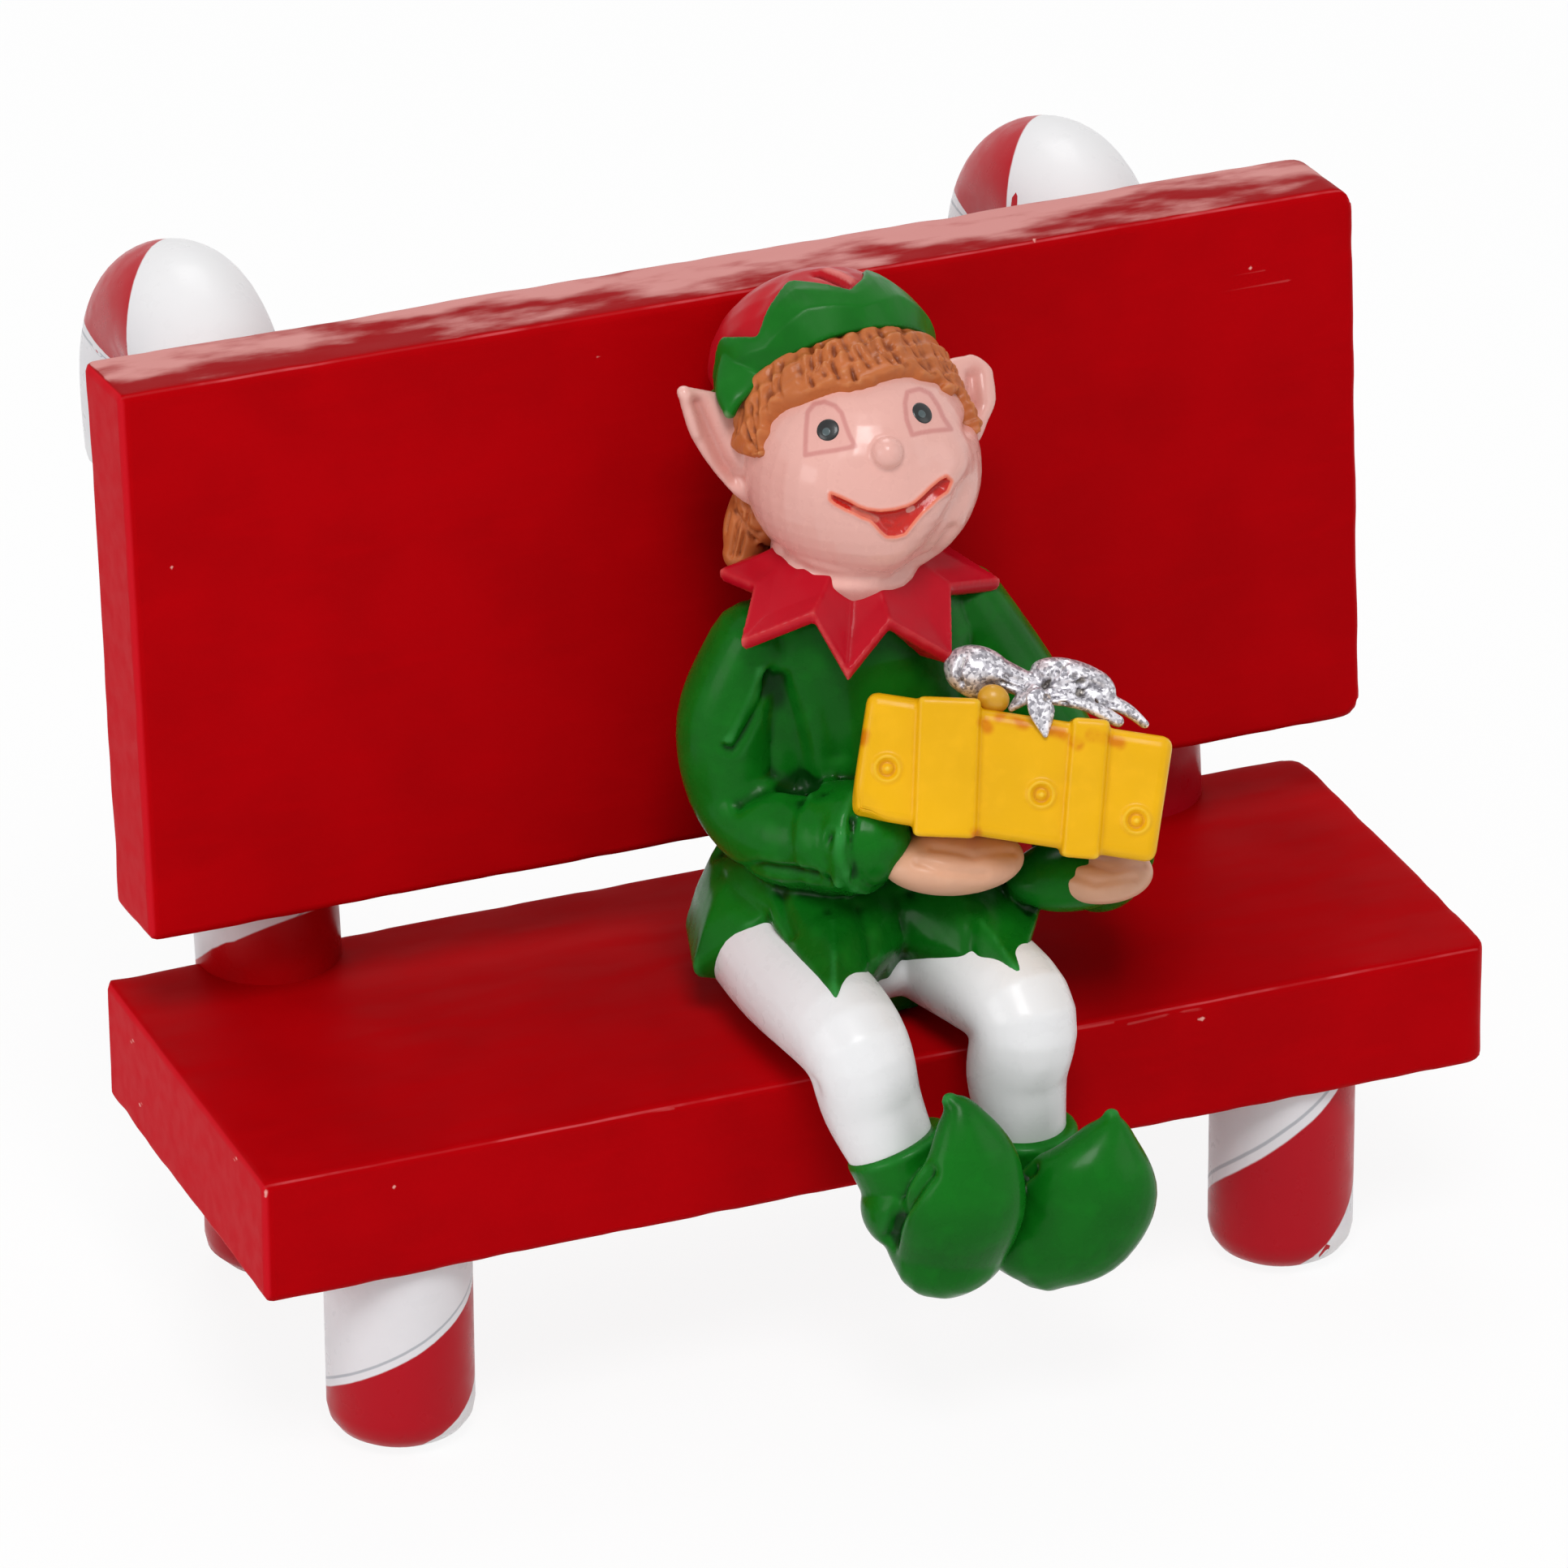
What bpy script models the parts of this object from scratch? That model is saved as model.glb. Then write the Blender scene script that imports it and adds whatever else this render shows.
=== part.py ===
# Elf sitting on a candy-cane bench, a hand-painted cast miniature.
# Two castings: the bench in one piece, and the figure with its gift box, glued on the seat.
import bpy
import bmesh
import math
from mathutils import Matrix, Vector

# Every size is in metres. The bench is drawn with x to the viewer's right, y backwards from the
# seat's front face and z upwards from the seat's top. The whole model is then moved so that its
# origin is on the ground, under the middle of its box.
MM = 0.001

# Bench boards
BENCH_LENGTH = 70.0 * MM
SEAT_DEPTH = 25.0 * MM
SEAT_THICKNESS = 7.1 * MM
BOARD_HEIGHT = 30.8 * MM
BOARD_THICKNESS = 5.8 * MM
BOARD_LEAN = math.radians(4.2)
BOARD_LIFT = 6.0 * MM
BOARD_INSET = 8.1 * MM
EDGE_ROUND = 0.5 * MM
CORNER_ROUND = 1.4 * MM

# Candy-cane posts and legs
CANE_RADIUS = 3.95 * MM
CANE_INSET = 9.5 * MM
CANE_SHIFT = -0.6 * MM
CANE_SINK = 1.0 * MM
CANE_STRAIGHT = 28.4 * MM
CANE_UNEVEN = 0.7 * MM
CANE_LEAN = math.radians(10.0)
WEB_WIDTH = 3.0 * MM
HOOK_RADIUS = 5.8 * MM
HOOK_TAIL = 2.5 * MM
LEG_HEIGHT = 11.3 * MM
LEG_SETBACK = 4.6 * MM
LEG_END_ROUND = 1.6 * MM

# Figure: its drawing is 41 units tall above the seat, and one unit is this long
FIGURE_HEIGHT = 41.0 * MM
UNIT = FIGURE_HEIGHT / 41.0
SIT_DEPTH = 16.9 * UNIT
GLUE_GAP = 0.3 * MM
HEAD_RADIUS = 6.25 * MM
HAIR_THICKNESS = 0.5 * MM
HAIRLINE_SHIFT = 0.1 * MM
NOSE_RADIUS = 0.95 * MM
EAR_WIDTH = 2.4 * MM
EAR_THICKNESS = 0.7 * MM
CAP_RADIUS = 6.9 * MM
CAP_HEIGHT = 7.2 * MM
BRIM_THICKNESS = 0.55 * MM
BRIM_HEIGHT = 0.9 * MM
BRIM_PEAK = 1.6 * MM
BRIM_PEAKS = 11
ARM_RADIUS = 2.8 * MM
CUFF_RADIUS = 3.05 * MM
CUFF_LENGTH = 2.4 * MM
THIGH_RADIUS = 3.25 * MM
SHIN_RADIUS = 2.75 * MM
SHOE_WIDTH = 7.6 * MM
COLLAR_THICKNESS = 0.8 * MM
GIFT_LENGTH = 16.1 * MM
GIFT_HEIGHT = 6.6 * MM
GIFT_DEPTH = 6.0 * MM
GIFT_ROUND = 0.6 * MM
RIBBON_WIDTH = 2.9 * MM
RIBBON_LEFT = 3.8 * MM
RIBBON_RIGHT = 3.05 * MM
RIBBON_RAISE = 0.35 * MM
BOW_LOOP = 2.9 * MM

# How the gift box is held: turned to the viewer's left, tipped back and rolled
GIFT_TURN = math.radians(-22.0)
GIFT_TIP = math.radians(26.6)
GIFT_ROLL = math.radians(9.0)

SIDES = 16


def clear_scene():
    for item in list(bpy.data.objects):
        bpy.data.objects.remove(item, do_unlink=True)


def new_collection(name):
    group = bpy.data.collections.new(name)
    bpy.context.scene.collection.children.link(group)
    return group


def paint(name, colour, roughness, metallic=0.0):
    material = bpy.data.materials.new(name)
    material.use_nodes = True
    shader = material.node_tree.nodes["Principled BSDF"]
    shader.inputs["Base Color"].default_value = (*colour, 1.0)
    shader.inputs["Roughness"].default_value = roughness
    shader.inputs["Metallic"].default_value = metallic
    return material


def mesh_object(name, mesh_data, group):
    item = bpy.data.objects.new(name, mesh_data)
    group.objects.link(item)
    return item


def finish_mesh(name, shape, group):
    """Turn a bmesh into an object, with every face pointing out."""
    bmesh.ops.recalc_face_normals(shape, faces=shape.faces)
    mesh_data = bpy.data.meshes.new(name)
    shape.to_mesh(mesh_data)
    shape.free()
    mesh_data.shade_smooth()
    mesh_data.set_sharp_from_angle(angle=math.radians(35))
    return mesh_object(name, mesh_data, group)


def apply_modifiers(item):
    """Replace an object's mesh by its evaluated one."""
    graph = bpy.context.evaluated_depsgraph_get()
    evaluated = item.evaluated_get(graph)
    item.data = bpy.data.meshes.new_from_object(evaluated)
    item.modifiers.clear()


def box(name, size, group, round_by, segments=2):
    """A block from a cube primitive, one corner of it at the origin, with rounded edges."""
    shape = bmesh.new()
    bmesh.ops.create_cube(shape, size=1.0)
    for vertex in shape.verts:
        vertex.co = Vector((v + 0.5) * s for v, s in zip(vertex.co, size))
    item = finish_mesh(name, shape, group)
    bevel = item.modifiers.new("Rounded edges", "BEVEL")
    bevel.width = round_by
    bevel.segments = segments
    return item


def smooth_stations(stations, steps):
    """Points and radii on a smooth curve through the stations (Catmull-Rom)."""
    padded = [stations[0], *stations, stations[-1]]
    result = []
    for i in range(len(stations) - 1):
        before, start, end, after = padded[i:i + 4]
        for step in range(steps):
            t = step / steps
            result.append([0.5 * (2 * b + (c - a) * t + (2 * a - 5 * b + 4 * c - d) * t * t
                                  + (3 * b - a - 3 * c + d) * t ** 3)
                           for a, b, c, d in zip(before, start, end, after)])
    result.append(list(stations[-1]))
    return result


def sweep(name, stations, group, steps=4, sides=SIDES, facing=Vector((0, 0, 1)), dome=1.0):
    """A round limb through stations of (x, y, z, width radius, thickness radius).

    The thickness is measured towards the facing direction. Both ends close in a dome.
    """
    rings = smooth_stations(stations, steps)
    shape = bmesh.new()
    loops = []
    for index, ring in enumerate(rings):
        centre = Vector(ring[:3])
        ahead = Vector(rings[min(index + 1, len(rings) - 1)][:3])
        behind = Vector(rings[max(index - 1, 0)][:3])
        along = (ahead - behind).normalized()
        across = along.cross(facing).normalized()
        over = across.cross(along).normalized()
        turns = [(0.0, 1.0)]
        if index == 0:
            turns = [(-math.sin(a) * dome, math.cos(a)) for a in (1.2, 0.6)] + turns
        if index == len(rings) - 1:
            turns = turns + [(math.sin(a) * dome, math.cos(a)) for a in (0.6, 1.2)]
        for shift, shrink in turns:
            reach = min(ring[3], ring[4])
            loop = []
            for side in range(sides):
                angle = 2 * math.pi * side / sides
                point = (centre + along * shift * reach
                         + across * math.cos(angle) * ring[3] * shrink
                         + over * math.sin(angle) * ring[4] * shrink)
                loop.append(shape.verts.new(point))
            loops.append(loop)
    for lower, upper in zip(loops, loops[1:]):
        for side in range(sides):
            following = (side + 1) % sides
            shape.faces.new((lower[side], lower[following], upper[following], upper[side]))
    shape.faces.new(loops[0])
    shape.faces.new(loops[-1])
    return finish_mesh(name, shape, group)


def ball(name, centre, radii, group, turn=None, segments=20, rings=12):
    """An egg from a sphere primitive, stretched to its three radii and turned."""
    shape = bmesh.new()
    bmesh.ops.create_uvsphere(shape, u_segments=segments, v_segments=rings, radius=1.0)
    turn = turn or Matrix.Identity(3)
    for vertex in shape.verts:
        stretched = Vector(c * r for c, r in zip(vertex.co, radii))
        vertex.co = centre + turn @ stretched
    return finish_mesh(name, shape, group)


def loft(name, loops, group):
    """A closed body through loops of equally many points, capped at both ends."""
    shape = bmesh.new()
    rings = [[shape.verts.new(point) for point in loop] for loop in loops]
    count = len(loops[0])
    for lower, upper in zip(rings, rings[1:]):
        for side in range(count):
            following = (side + 1) % count
            shape.faces.new((lower[side], lower[following], upper[following], upper[side]))
    shape.faces.new(rings[0])
    shape.faces.new(rings[-1])
    return finish_mesh(name, shape, group)


def join(name, pieces, node_group, material):
    """Unite separate solids into the one closed casting that they are."""
    body = pieces[0]
    for piece in pieces:
        apply_modifiers(piece)
    others = bpy.data.collections.new(name + "_forms")
    bpy.context.scene.collection.children.link(others)
    for piece in pieces[1:]:
        for owner in list(piece.users_collection):
            owner.objects.unlink(piece)
        others.objects.link(piece)
        piece.hide_render = True
        piece.display_type = "WIRE"
    union = body.modifiers.new("One casting", "BOOLEAN")
    union.operation = "UNION"
    union.operand_type = "COLLECTION"
    union.collection = others
    union.solver = "EXACT"
    union.use_self = True
    apply_modifiers(body)
    for piece in pieces[1:]:
        bpy.data.objects.remove(piece, do_unlink=True)
    bpy.data.collections.remove(others)
    body.name = name
    body.data.set_sharp_from_angle(angle=math.radians(35))
    body.data.materials.clear()
    body.data.materials.append(material)
    for owner in list(body.users_collection):
        owner.objects.unlink(body)
    node_group.objects.link(body)
    return body


# Bench

BOARD_FOOT = SEAT_DEPTH - BOARD_INSET
BOARD_UP = Vector((0, math.sin(BOARD_LEAN), math.cos(BOARD_LEAN)))
BOARD_BACK = BOARD_FOOT + BOARD_THICKNESS
CANE_FOOT = BOARD_BACK + CANE_RADIUS - CANE_SINK - BOARD_LIFT * math.tan(CANE_LEAN)


def make_boards(group):
    seat = box("seat", (BENCH_LENGTH, SEAT_DEPTH, SEAT_THICKNESS), group, EDGE_ROUND)
    seat.location = (-BENCH_LENGTH / 2, 0, -SEAT_THICKNESS)
    board = box("back_board", (BENCH_LENGTH, BOARD_THICKNESS, BOARD_HEIGHT), group, EDGE_ROUND)
    for flat in (seat, board):
        vertical = flat.modifiers.new("Rounded corners", "BEVEL")
        vertical.width = CORNER_ROUND
        vertical.segments = 3
        vertical.limit_method = "VGROUP"
        corners = flat.vertex_groups.new(name="far corners")
        vertical.vertex_group = corners.name
        up_axis = 2 if flat is seat else 1
        pick = [v.index for v in flat.data.vertices if v.co.x > BENCH_LENGTH / 2]
        corners.add(pick, 1.0, "REPLACE")
        flat.modifiers.move(1, 0)
        keep_only_edges_along(flat, up_axis, corners.name)
    board.rotation_euler = (-BOARD_LEAN, 0, 0)
    board.location = (-BENCH_LENGTH / 2, BOARD_FOOT, BOARD_LIFT)
    for flat in (seat, board):
        bpy.context.view_layer.update()
        placed = flat.matrix_world.copy()
        apply_modifiers(flat)
        flat.data.transform(placed)
        flat.matrix_world = Matrix.Identity(4)
    return [seat, board]


def keep_only_edges_along(item, axis, group_name):
    """Limit the corner rounding to the edges that run along one axis at the far end."""
    bevel = item.modifiers[0]
    bevel.limit_method = "WEIGHT"
    weights = item.data.attributes.new("bevel_weight_edge", "FLOAT", "EDGE")
    for edge in item.data.edges:
        start, end = (item.data.vertices[v].co for v in edge.vertices)
        runs_along = abs((end - start).normalized()[axis]) > 0.9
        at_far_end = min(start.x, end.x) > BENCH_LENGTH / 2
        weights.data[edge.index].value = 1.0 if runs_along and at_far_end else 0.0


def cane_place(side):
    return CANE_SHIFT + side * (BENCH_LENGTH / 2 - CANE_INSET)


def cane_path(side):
    """Centre line of a rear cane: straight leg, leaning post, and a hook bent to the back."""
    x = cane_place(side)
    ground = -SEAT_THICKNESS - LEG_HEIGHT
    lean = Vector((0, math.sin(CANE_LEAN), math.cos(CANE_LEAN)))
    back = Vector((0, math.cos(CANE_LEAN), -math.sin(CANE_LEAN)))
    foot = Vector((x, CANE_FOOT, 0))
    points = [Vector((x, CANE_FOOT, ground + LEG_END_ROUND)), Vector((x, CANE_FOOT, -SEAT_THICKNESS))]
    points.append(foot)
    straight = CANE_STRAIGHT - side * CANE_UNEVEN
    for step in range(1, 4):
        points.append(foot + lean * straight * step / 3)
    middle = points[-1] + back * HOOK_RADIUS
    for step in range(1, 11):
        angle = math.pi * step / 10
        points.append(middle - back * HOOK_RADIUS * math.cos(angle) + lean * HOOK_RADIUS * math.sin(angle))
    points.append(points[-1] - lean * HOOK_TAIL)
    return points


def make_cane(name, points, group):
    """A round cane along a path of points, with the blunt rounded end of a poured leg."""
    curve = bpy.data.curves.new(name, "CURVE")
    curve.dimensions = "3D"
    curve.bevel_depth = CANE_RADIUS
    curve.bevel_resolution = 6
    curve.use_fill_caps = True
    spline = curve.splines.new("POLY")
    stations = blunt_ends(points)
    spline.points.add(len(stations) - 1)
    for target, (point, share) in zip(spline.points, stations):
        target.co = (*point, 1.0)
        target.radius = share
    drawn = mesh_object(name + "_line", curve, group)
    graph = bpy.context.evaluated_depsgraph_get()
    mesh_data = bpy.data.meshes.new_from_object(drawn.evaluated_get(graph))
    shape = bmesh.new()
    shape.from_mesh(mesh_data)
    bmesh.ops.remove_doubles(shape, verts=shape.verts, dist=1e-6)
    bpy.data.objects.remove(drawn, do_unlink=True)
    return finish_mesh(name, shape, group)


def blunt_ends(points):
    """The path with its ends drawn in, as pairs of a point and a share of the cane's radius."""
    flat_share = (CANE_RADIUS - LEG_END_ROUND) / CANE_RADIUS
    stations = [(point, 1.0) for point in points]
    for end, inner in ((0, 1), (-1, -2)):
        outward = (points[end] - points[inner]).normalized()
        cap = []
        for step in range(1, 4):
            angle = math.pi / 2 * step / 3
            share = flat_share + (1 - flat_share) * math.cos(angle)
            cap.append((points[end] + outward * LEG_END_ROUND * math.sin(angle), share))
        stations = cap[::-1] + stations if end == 0 else stations + cap
    return stations


def make_legs(group):
    ground = -SEAT_THICKNESS - LEG_HEIGHT
    legs = []
    for side in (-1, 1):
        x = cane_place(side)
        top = -SEAT_THICKNESS / 2
        points = [Vector((x, LEG_SETBACK, ground + LEG_END_ROUND)), Vector((x, LEG_SETBACK, top))]
        legs.append(make_cane(f"front_leg_{side}", points, group))
        legs.append(make_cane(f"rear_cane_{side}", cane_path(side), group))
        legs.append(make_web(side, group))
    return legs


def make_web(side, group):
    """The web of cast resin that fills the wedge between a leaning post and the board."""
    x = cane_place(side)
    low = BOARD_LIFT + EDGE_ROUND * 3
    high = BOARD_LIFT + BOARD_HEIGHT * 0.8
    loops = []
    for height in (low, high):
        front = BOARD_BACK + (height - BOARD_LIFT) * math.tan(BOARD_LEAN) - CANE_SINK
        back = CANE_FOOT + height * math.tan(CANE_LEAN)
        half = WEB_WIDTH / 2
        loops.append([Vector((x - half, front, height)), Vector((x + half, front, height)),
                      Vector((x + half, back, height)), Vector((x - half, back, height))])
    return loft(f"web_{side}", loops, group)


# Figure

def body(x, y, z):
    """A point of the figure above its knees, drawn in units behind the seat's front edge.

    It keeps its distance to the back-board when the seat's depth changes.
    """
    return Vector((x * UNIT, BOARD_FOOT - SIT_DEPTH + y * UNIT, z * UNIT + GLUE_GAP))


def knee(x, z):
    """A point on the line of the knees, just clear of the seat's front face."""
    return Vector((x * UNIT, -(SHIN_RADIUS + GLUE_GAP), z * UNIT + GLUE_GAP))


def toes(x, y, z):
    """A point of the shoes, drawn in units before the line of the shins."""
    return knee(x, z) + Vector((0, (y + 3.05) * UNIT, 0))


def station(point, width, thickness=None):
    return (*point, width, width if thickness is None else thickness)


HEAD = body(2.6, 9.8, 29.6)
CAP_CENTRE = body(1.6, 10.6, 33.6)
CAP_AXIS = Vector((-0.06, 0.80, 0.60)).normalized()
COLLAR_CENTRE = body(2.2, 9.3, 24.2)


def make_tunic(group):
    """The tunic from its seat to the neck, with pointed tips along the hem."""
    hem = [(-4.4, -3.0, 6.8), (1.7, 2.2, 5.5), (5.7, -3.8, 6.6), (9.3, 1.6, 6.5), (11.2, 8.0, 2.8),
           (9.8, 11.4, 4.0), (7.6, 15.2, 1.6), (2.1, 15.9, 3.2), (-3.4, 15.2, 1.6), (-6.6, 12.4, 3.6),
           (-7.9, 8.0, 3.3), (-5.0, 4.9, 7.4)]
    seated = [(0.0, 6.0, 5.0), (1.5, 6.6, 5.6)]
    upper = [(9.0, 7.1, 5.2), (13.0, 6.5, 4.9), (17.0, 6.7, 4.9), (20.5, 6.9, 4.5), (22.6, 5.6, 3.9),
             (24.4, 3.4, 3.0)]
    angles = [math.atan2(y - 9.6, x - 2.0) for x, y, z in hem]

    def ring(z, half_width, half_depth):
        return [body(2.0 + half_width * math.cos(a), 9.6 + half_depth * math.sin(a), z) for a in angles]

    loops = [ring(*level) for level in seated]
    loops.append([body(x * 0.97 + 0.06, y * 0.97 + 0.29, z - 0.7) for x, y, z in hem])
    loops.append([body(*point) for point in hem])
    loops += [ring(*level) for level in upper]
    return loft("tunic", loops, group)


def make_legs_of_figure(group):
    pieces = []
    thigh_height = THIGH_RADIUS / UNIT
    left = [station(body(-3.6, 9.5, 3.6), THIGH_RADIUS), station(body(-3.7, 4.5, 3.5), THIGH_RADIUS),
            station(knee(-3.4, thigh_height), SHIN_RADIUS * 1.04),
            station(knee(-3.0, -0.2) + Vector((0, -1.2 * UNIT, 0)), SHIN_RADIUS * 0.95),
            station(knee(-2.2, -3.2) + Vector((0, -2.4 * UNIT, 0)), SHIN_RADIUS * 0.78)]
    right = [station(body(5.6, 9.5, 3.6), THIGH_RADIUS), station(body(5.9, 4.5, 3.5), THIGH_RADIUS),
             station(knee(6.1, thigh_height), SHIN_RADIUS * 1.04),
             station(knee(5.9, -0.6) + Vector((0, -0.2 * UNIT, 0)), SHIN_RADIUS * 0.95),
             station(knee(6.2, -4.0) + Vector((0, -0.5 * UNIT, 0)), SHIN_RADIUS * 0.80)]
    for name, line in (("left_leg", left), ("right_leg", right)):
        pieces.append(sweep(name, line, group, facing=Vector((0, -1, 0.4))))
    return pieces


def make_shoe(name, ankle, foot, toe, group):
    """A pointed shoe: a cuff round the ankle, heel to ball, and a toe that curls up to its tip.

    Foot and toe are lists of a drawn point and a share of the shoe's width.
    """
    wide = SHOE_WIDTH / 2
    pieces = []
    for part_name, line in (("foot", foot), ("toe", toe)):
        stations = [station(toes(*point), wide * share, wide * share * deep)
                    for point, share, deep in line]
        pieces.append(sweep(f"{name}_{part_name}", stations, group, steps=3, facing=Vector((0, -1, 0.5))))
    top = [station(ankle + Vector((0, 0, -2.6)) * UNIT, SHIN_RADIUS * 0.95),
           station(ankle + Vector((0, 0.1, 0.4)) * UNIT, SHIN_RADIUS * 1.02)]
    pieces.append(sweep(name + "_cuff", top, group, steps=3, facing=Vector((0, -1, 0)), dome=0.25))
    return pieces


def make_shoes(group):
    left_foot = [((-1.4, -4.6, -5.2), 0.60, 0.8), ((-0.6, -6.8, -6.2), 0.78, 0.8),
                 ((0.2, -8.6, -6.7), 0.88, 0.75)]
    left_toe = [((0.1, -8.6, -6.8), 0.86, 0.72), ((0.8, -9.6, -4.2), 1.00, 0.66),
                ((1.1, -9.7, -1.4), 0.80, 0.60), ((0.3, -9.0, 1.0), 0.32, 0.8),
                ((-0.2, -8.7, 1.8), 0.12, 1.0)]
    right_foot = [((6.4, -4.6, -6.2), 0.62, 0.8), ((5.7, -6.2, -7.6), 0.78, 0.8),
                  ((5.3, -7.6, -8.2), 0.82, 0.75)]
    right_toe = [((5.2, -7.6, -8.2), 0.78, 0.75), ((6.9, -8.6, -6.5), 0.98, 0.66),
                 ((8.1, -9.0, -4.2), 0.90, 0.62), ((8.9, -8.6, -2.0), 0.38, 0.8),
                 ((9.1, -8.4, -1.2), 0.12, 1.0)]
    left_ankle = knee(-2.2, -3.2) + Vector((0, -2.4 * UNIT, 0))
    right_ankle = knee(6.2, -4.0) + Vector((0, -0.6 * UNIT, 0))
    return (make_shoe("left_shoe", left_ankle, left_foot, left_toe, group)
            + make_shoe("right_shoe", right_ankle, right_foot, right_toe, group))


def make_arm(name, line, group):
    stations = [station(body(*point), ARM_RADIUS * share) for point, share in line]
    sleeve = sweep(name, stations, group, facing=Vector((0, -0.4, 1)))
    wrist = Vector(stations[-1][:3])
    along = (wrist - Vector(stations[-2][:3])).normalized()
    ring = [station(wrist - along * CUFF_LENGTH, CUFF_RADIUS), station(wrist, CUFF_RADIUS)]
    cuff = sweep(name + "_cuff", ring, group, steps=2, facing=Vector((0, -0.4, 1)), dome=0.2)
    return [sleeve, cuff]


def make_arms(group):
    left = [((-3.6, 9.4, 20.4), 0.95), ((-5.1, 9.6, 16.4), 1.0), ((-5.0, 9.0, 12.3), 1.0),
            ((-3.2, 5.6, 11.2), 1.0), ((-0.5, 2.2, 12.0), 0.9)]
    right = [((8.0, 9.6, 20.4), 0.95), ((10.0, 8.8, 16.6), 1.03), ((12.4, 7.2, 11.6), 1.05),
             ((13.2, 5.0, 8.8), 1.0), ((13.1, 2.6, 7.6), 0.9)]
    pieces = make_arm("left_arm", left, group) + make_arm("right_arm", right, group)
    palms = (("left_hand", (3.9, 0.8, 10.6), (4.0, 2.6, 1.7), 0.10),
             ("right_hand", (12.8, 0.4, 7.9), (3.1, 2.6, 1.6), 0.05))
    for name, place, radii, tilt in palms:
        turn = Matrix.Rotation(tilt, 3, "Y")
        radii = [r * UNIT for r in radii]
        pieces.append(ball(name, body(*place), radii, group, turn=turn, segments=16, rings=10))
    return pieces


def make_head(group):
    pieces = [ball("head", HEAD, [HEAD_RADIUS] * 3, group, segments=24, rings=16)]
    facing = Vector((-0.20, -0.82, 0.53)).normalized()
    nose_at = HEAD + facing * (HEAD_RADIUS + NOSE_RADIUS * 0.25)
    pieces.append(ball("nose", nose_at, [NOSE_RADIUS] * 3, group, segments=12, rings=8))
    neck = [station(body(2.3, 9.8, 22.0), 3.0 * UNIT), station(body(2.4, 9.8, 27.0), 3.0 * UNIT)]
    pieces.append(sweep("neck", neck, group, steps=2, facing=Vector((0, -1, 0))))
    pieces.append(make_hair(group))
    nape = [station(body(-1.5, 13.2, 27.5), 2.2 * UNIT), station(body(-2.6, 13.6, 24.4), 1.6 * UNIT)]
    pieces.append(sweep("nape_hair", nape, group, steps=2, facing=Vector((0, 1, 0))))
    ears = (("left_ear", (-2.9, 10.3, 31.4), (-7.1, 11.0, 35.4)),
            ("right_ear", (7.7, 10.2, 31.6), (10.4, 11.6, 33.6)))
    for name, root, tip in ears:
        root = body(*root)
        tip = body(*tip)
        line = [station(root.lerp(tip, s), EAR_WIDTH * w, EAR_THICKNESS)
                for s, w in ((0.0, 0.95), (0.35, 0.85), (0.7, 0.5), (1.0, 0.14))]
        pieces.append(sweep(name, line, group, steps=2, sides=12, facing=Vector((-0.2, -1, 0.4))))
    return pieces


def half_ball(name, centre, radii, group, turn, cut_at, cut_normal):
    """A ball with all that lies past a plane cut away, and the cut closed.

    The plane is given in the ball's own frame, before it is turned and placed.
    """
    shape = bmesh.new()
    bmesh.ops.create_uvsphere(shape, u_segments=24, v_segments=16, radius=1.0)
    for vertex in shape.verts:
        vertex.co = Vector(c * r for c, r in zip(vertex.co, radii))
    everything = shape.verts[:] + shape.edges[:] + shape.faces[:]
    cut = bmesh.ops.bisect_plane(shape, geom=everything, dist=1e-7, plane_co=cut_at,
                                 plane_no=cut_normal, clear_outer=True)
    rim = [part for part in cut["geom_cut"] if isinstance(part, bmesh.types.BMEdge)]
    bmesh.ops.holes_fill(shape, edges=rim, sides=0)
    for vertex in shape.verts:
        vertex.co = centre + turn @ vertex.co
    return finish_mesh(name, shape, group)


def make_hair(group):
    """Hair over the back of the head, its fringe cut along the forehead."""
    radii = [HEAD_RADIUS + HAIR_THICKNESS] * 3
    front = Vector((0.0, -0.94, -0.34))
    return half_ball("hair", HEAD, radii, group, Matrix.Identity(3), front * HAIRLINE_SHIFT, front)


def make_cap(group):
    """A soft cap on the back of the head, with a turned-up brim cut in zigzag peaks."""
    across = (Vector((1, 0, 0)) - CAP_AXIS * CAP_AXIS.x).normalized()
    ahead = CAP_AXIS.cross(across).normalized()
    turn = Matrix((across, ahead, CAP_AXIS)).transposed()
    radii = (CAP_RADIUS, CAP_RADIUS, CAP_HEIGHT)
    below = Vector((0, 0, -1))
    crown = half_ball("cap", CAP_CENTRE, radii, group, turn, below * BRIM_THICKNESS, below)
    first_peak = math.radians(-75.0)
    loops = [[], [], [], []]
    for index in range(2 * BRIM_PEAKS):
        angle = first_peak + math.pi * index / BRIM_PEAKS
        spread = across * math.cos(angle) + ahead * math.sin(angle)
        rise = BRIM_HEIGHT + (BRIM_PEAK if index % 2 == 0 else 0.0)
        narrow = math.sqrt(max(0.0, 1 - (rise / CAP_HEIGHT) ** 2))
        foot = CAP_CENTRE - CAP_AXIS * BRIM_THICKNESS * 1.5
        top = CAP_CENTRE + CAP_AXIS * rise
        loops[0].append(foot + spread * (CAP_RADIUS - BRIM_THICKNESS))
        loops[1].append(foot + spread * (CAP_RADIUS + BRIM_THICKNESS))
        loops[2].append(top + spread * (CAP_RADIUS * narrow + BRIM_THICKNESS))
        loops[3].append(top + spread * (CAP_RADIUS * narrow - BRIM_THICKNESS))
    return [crown, ring_of_loops("brim", loops, group)]


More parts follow.
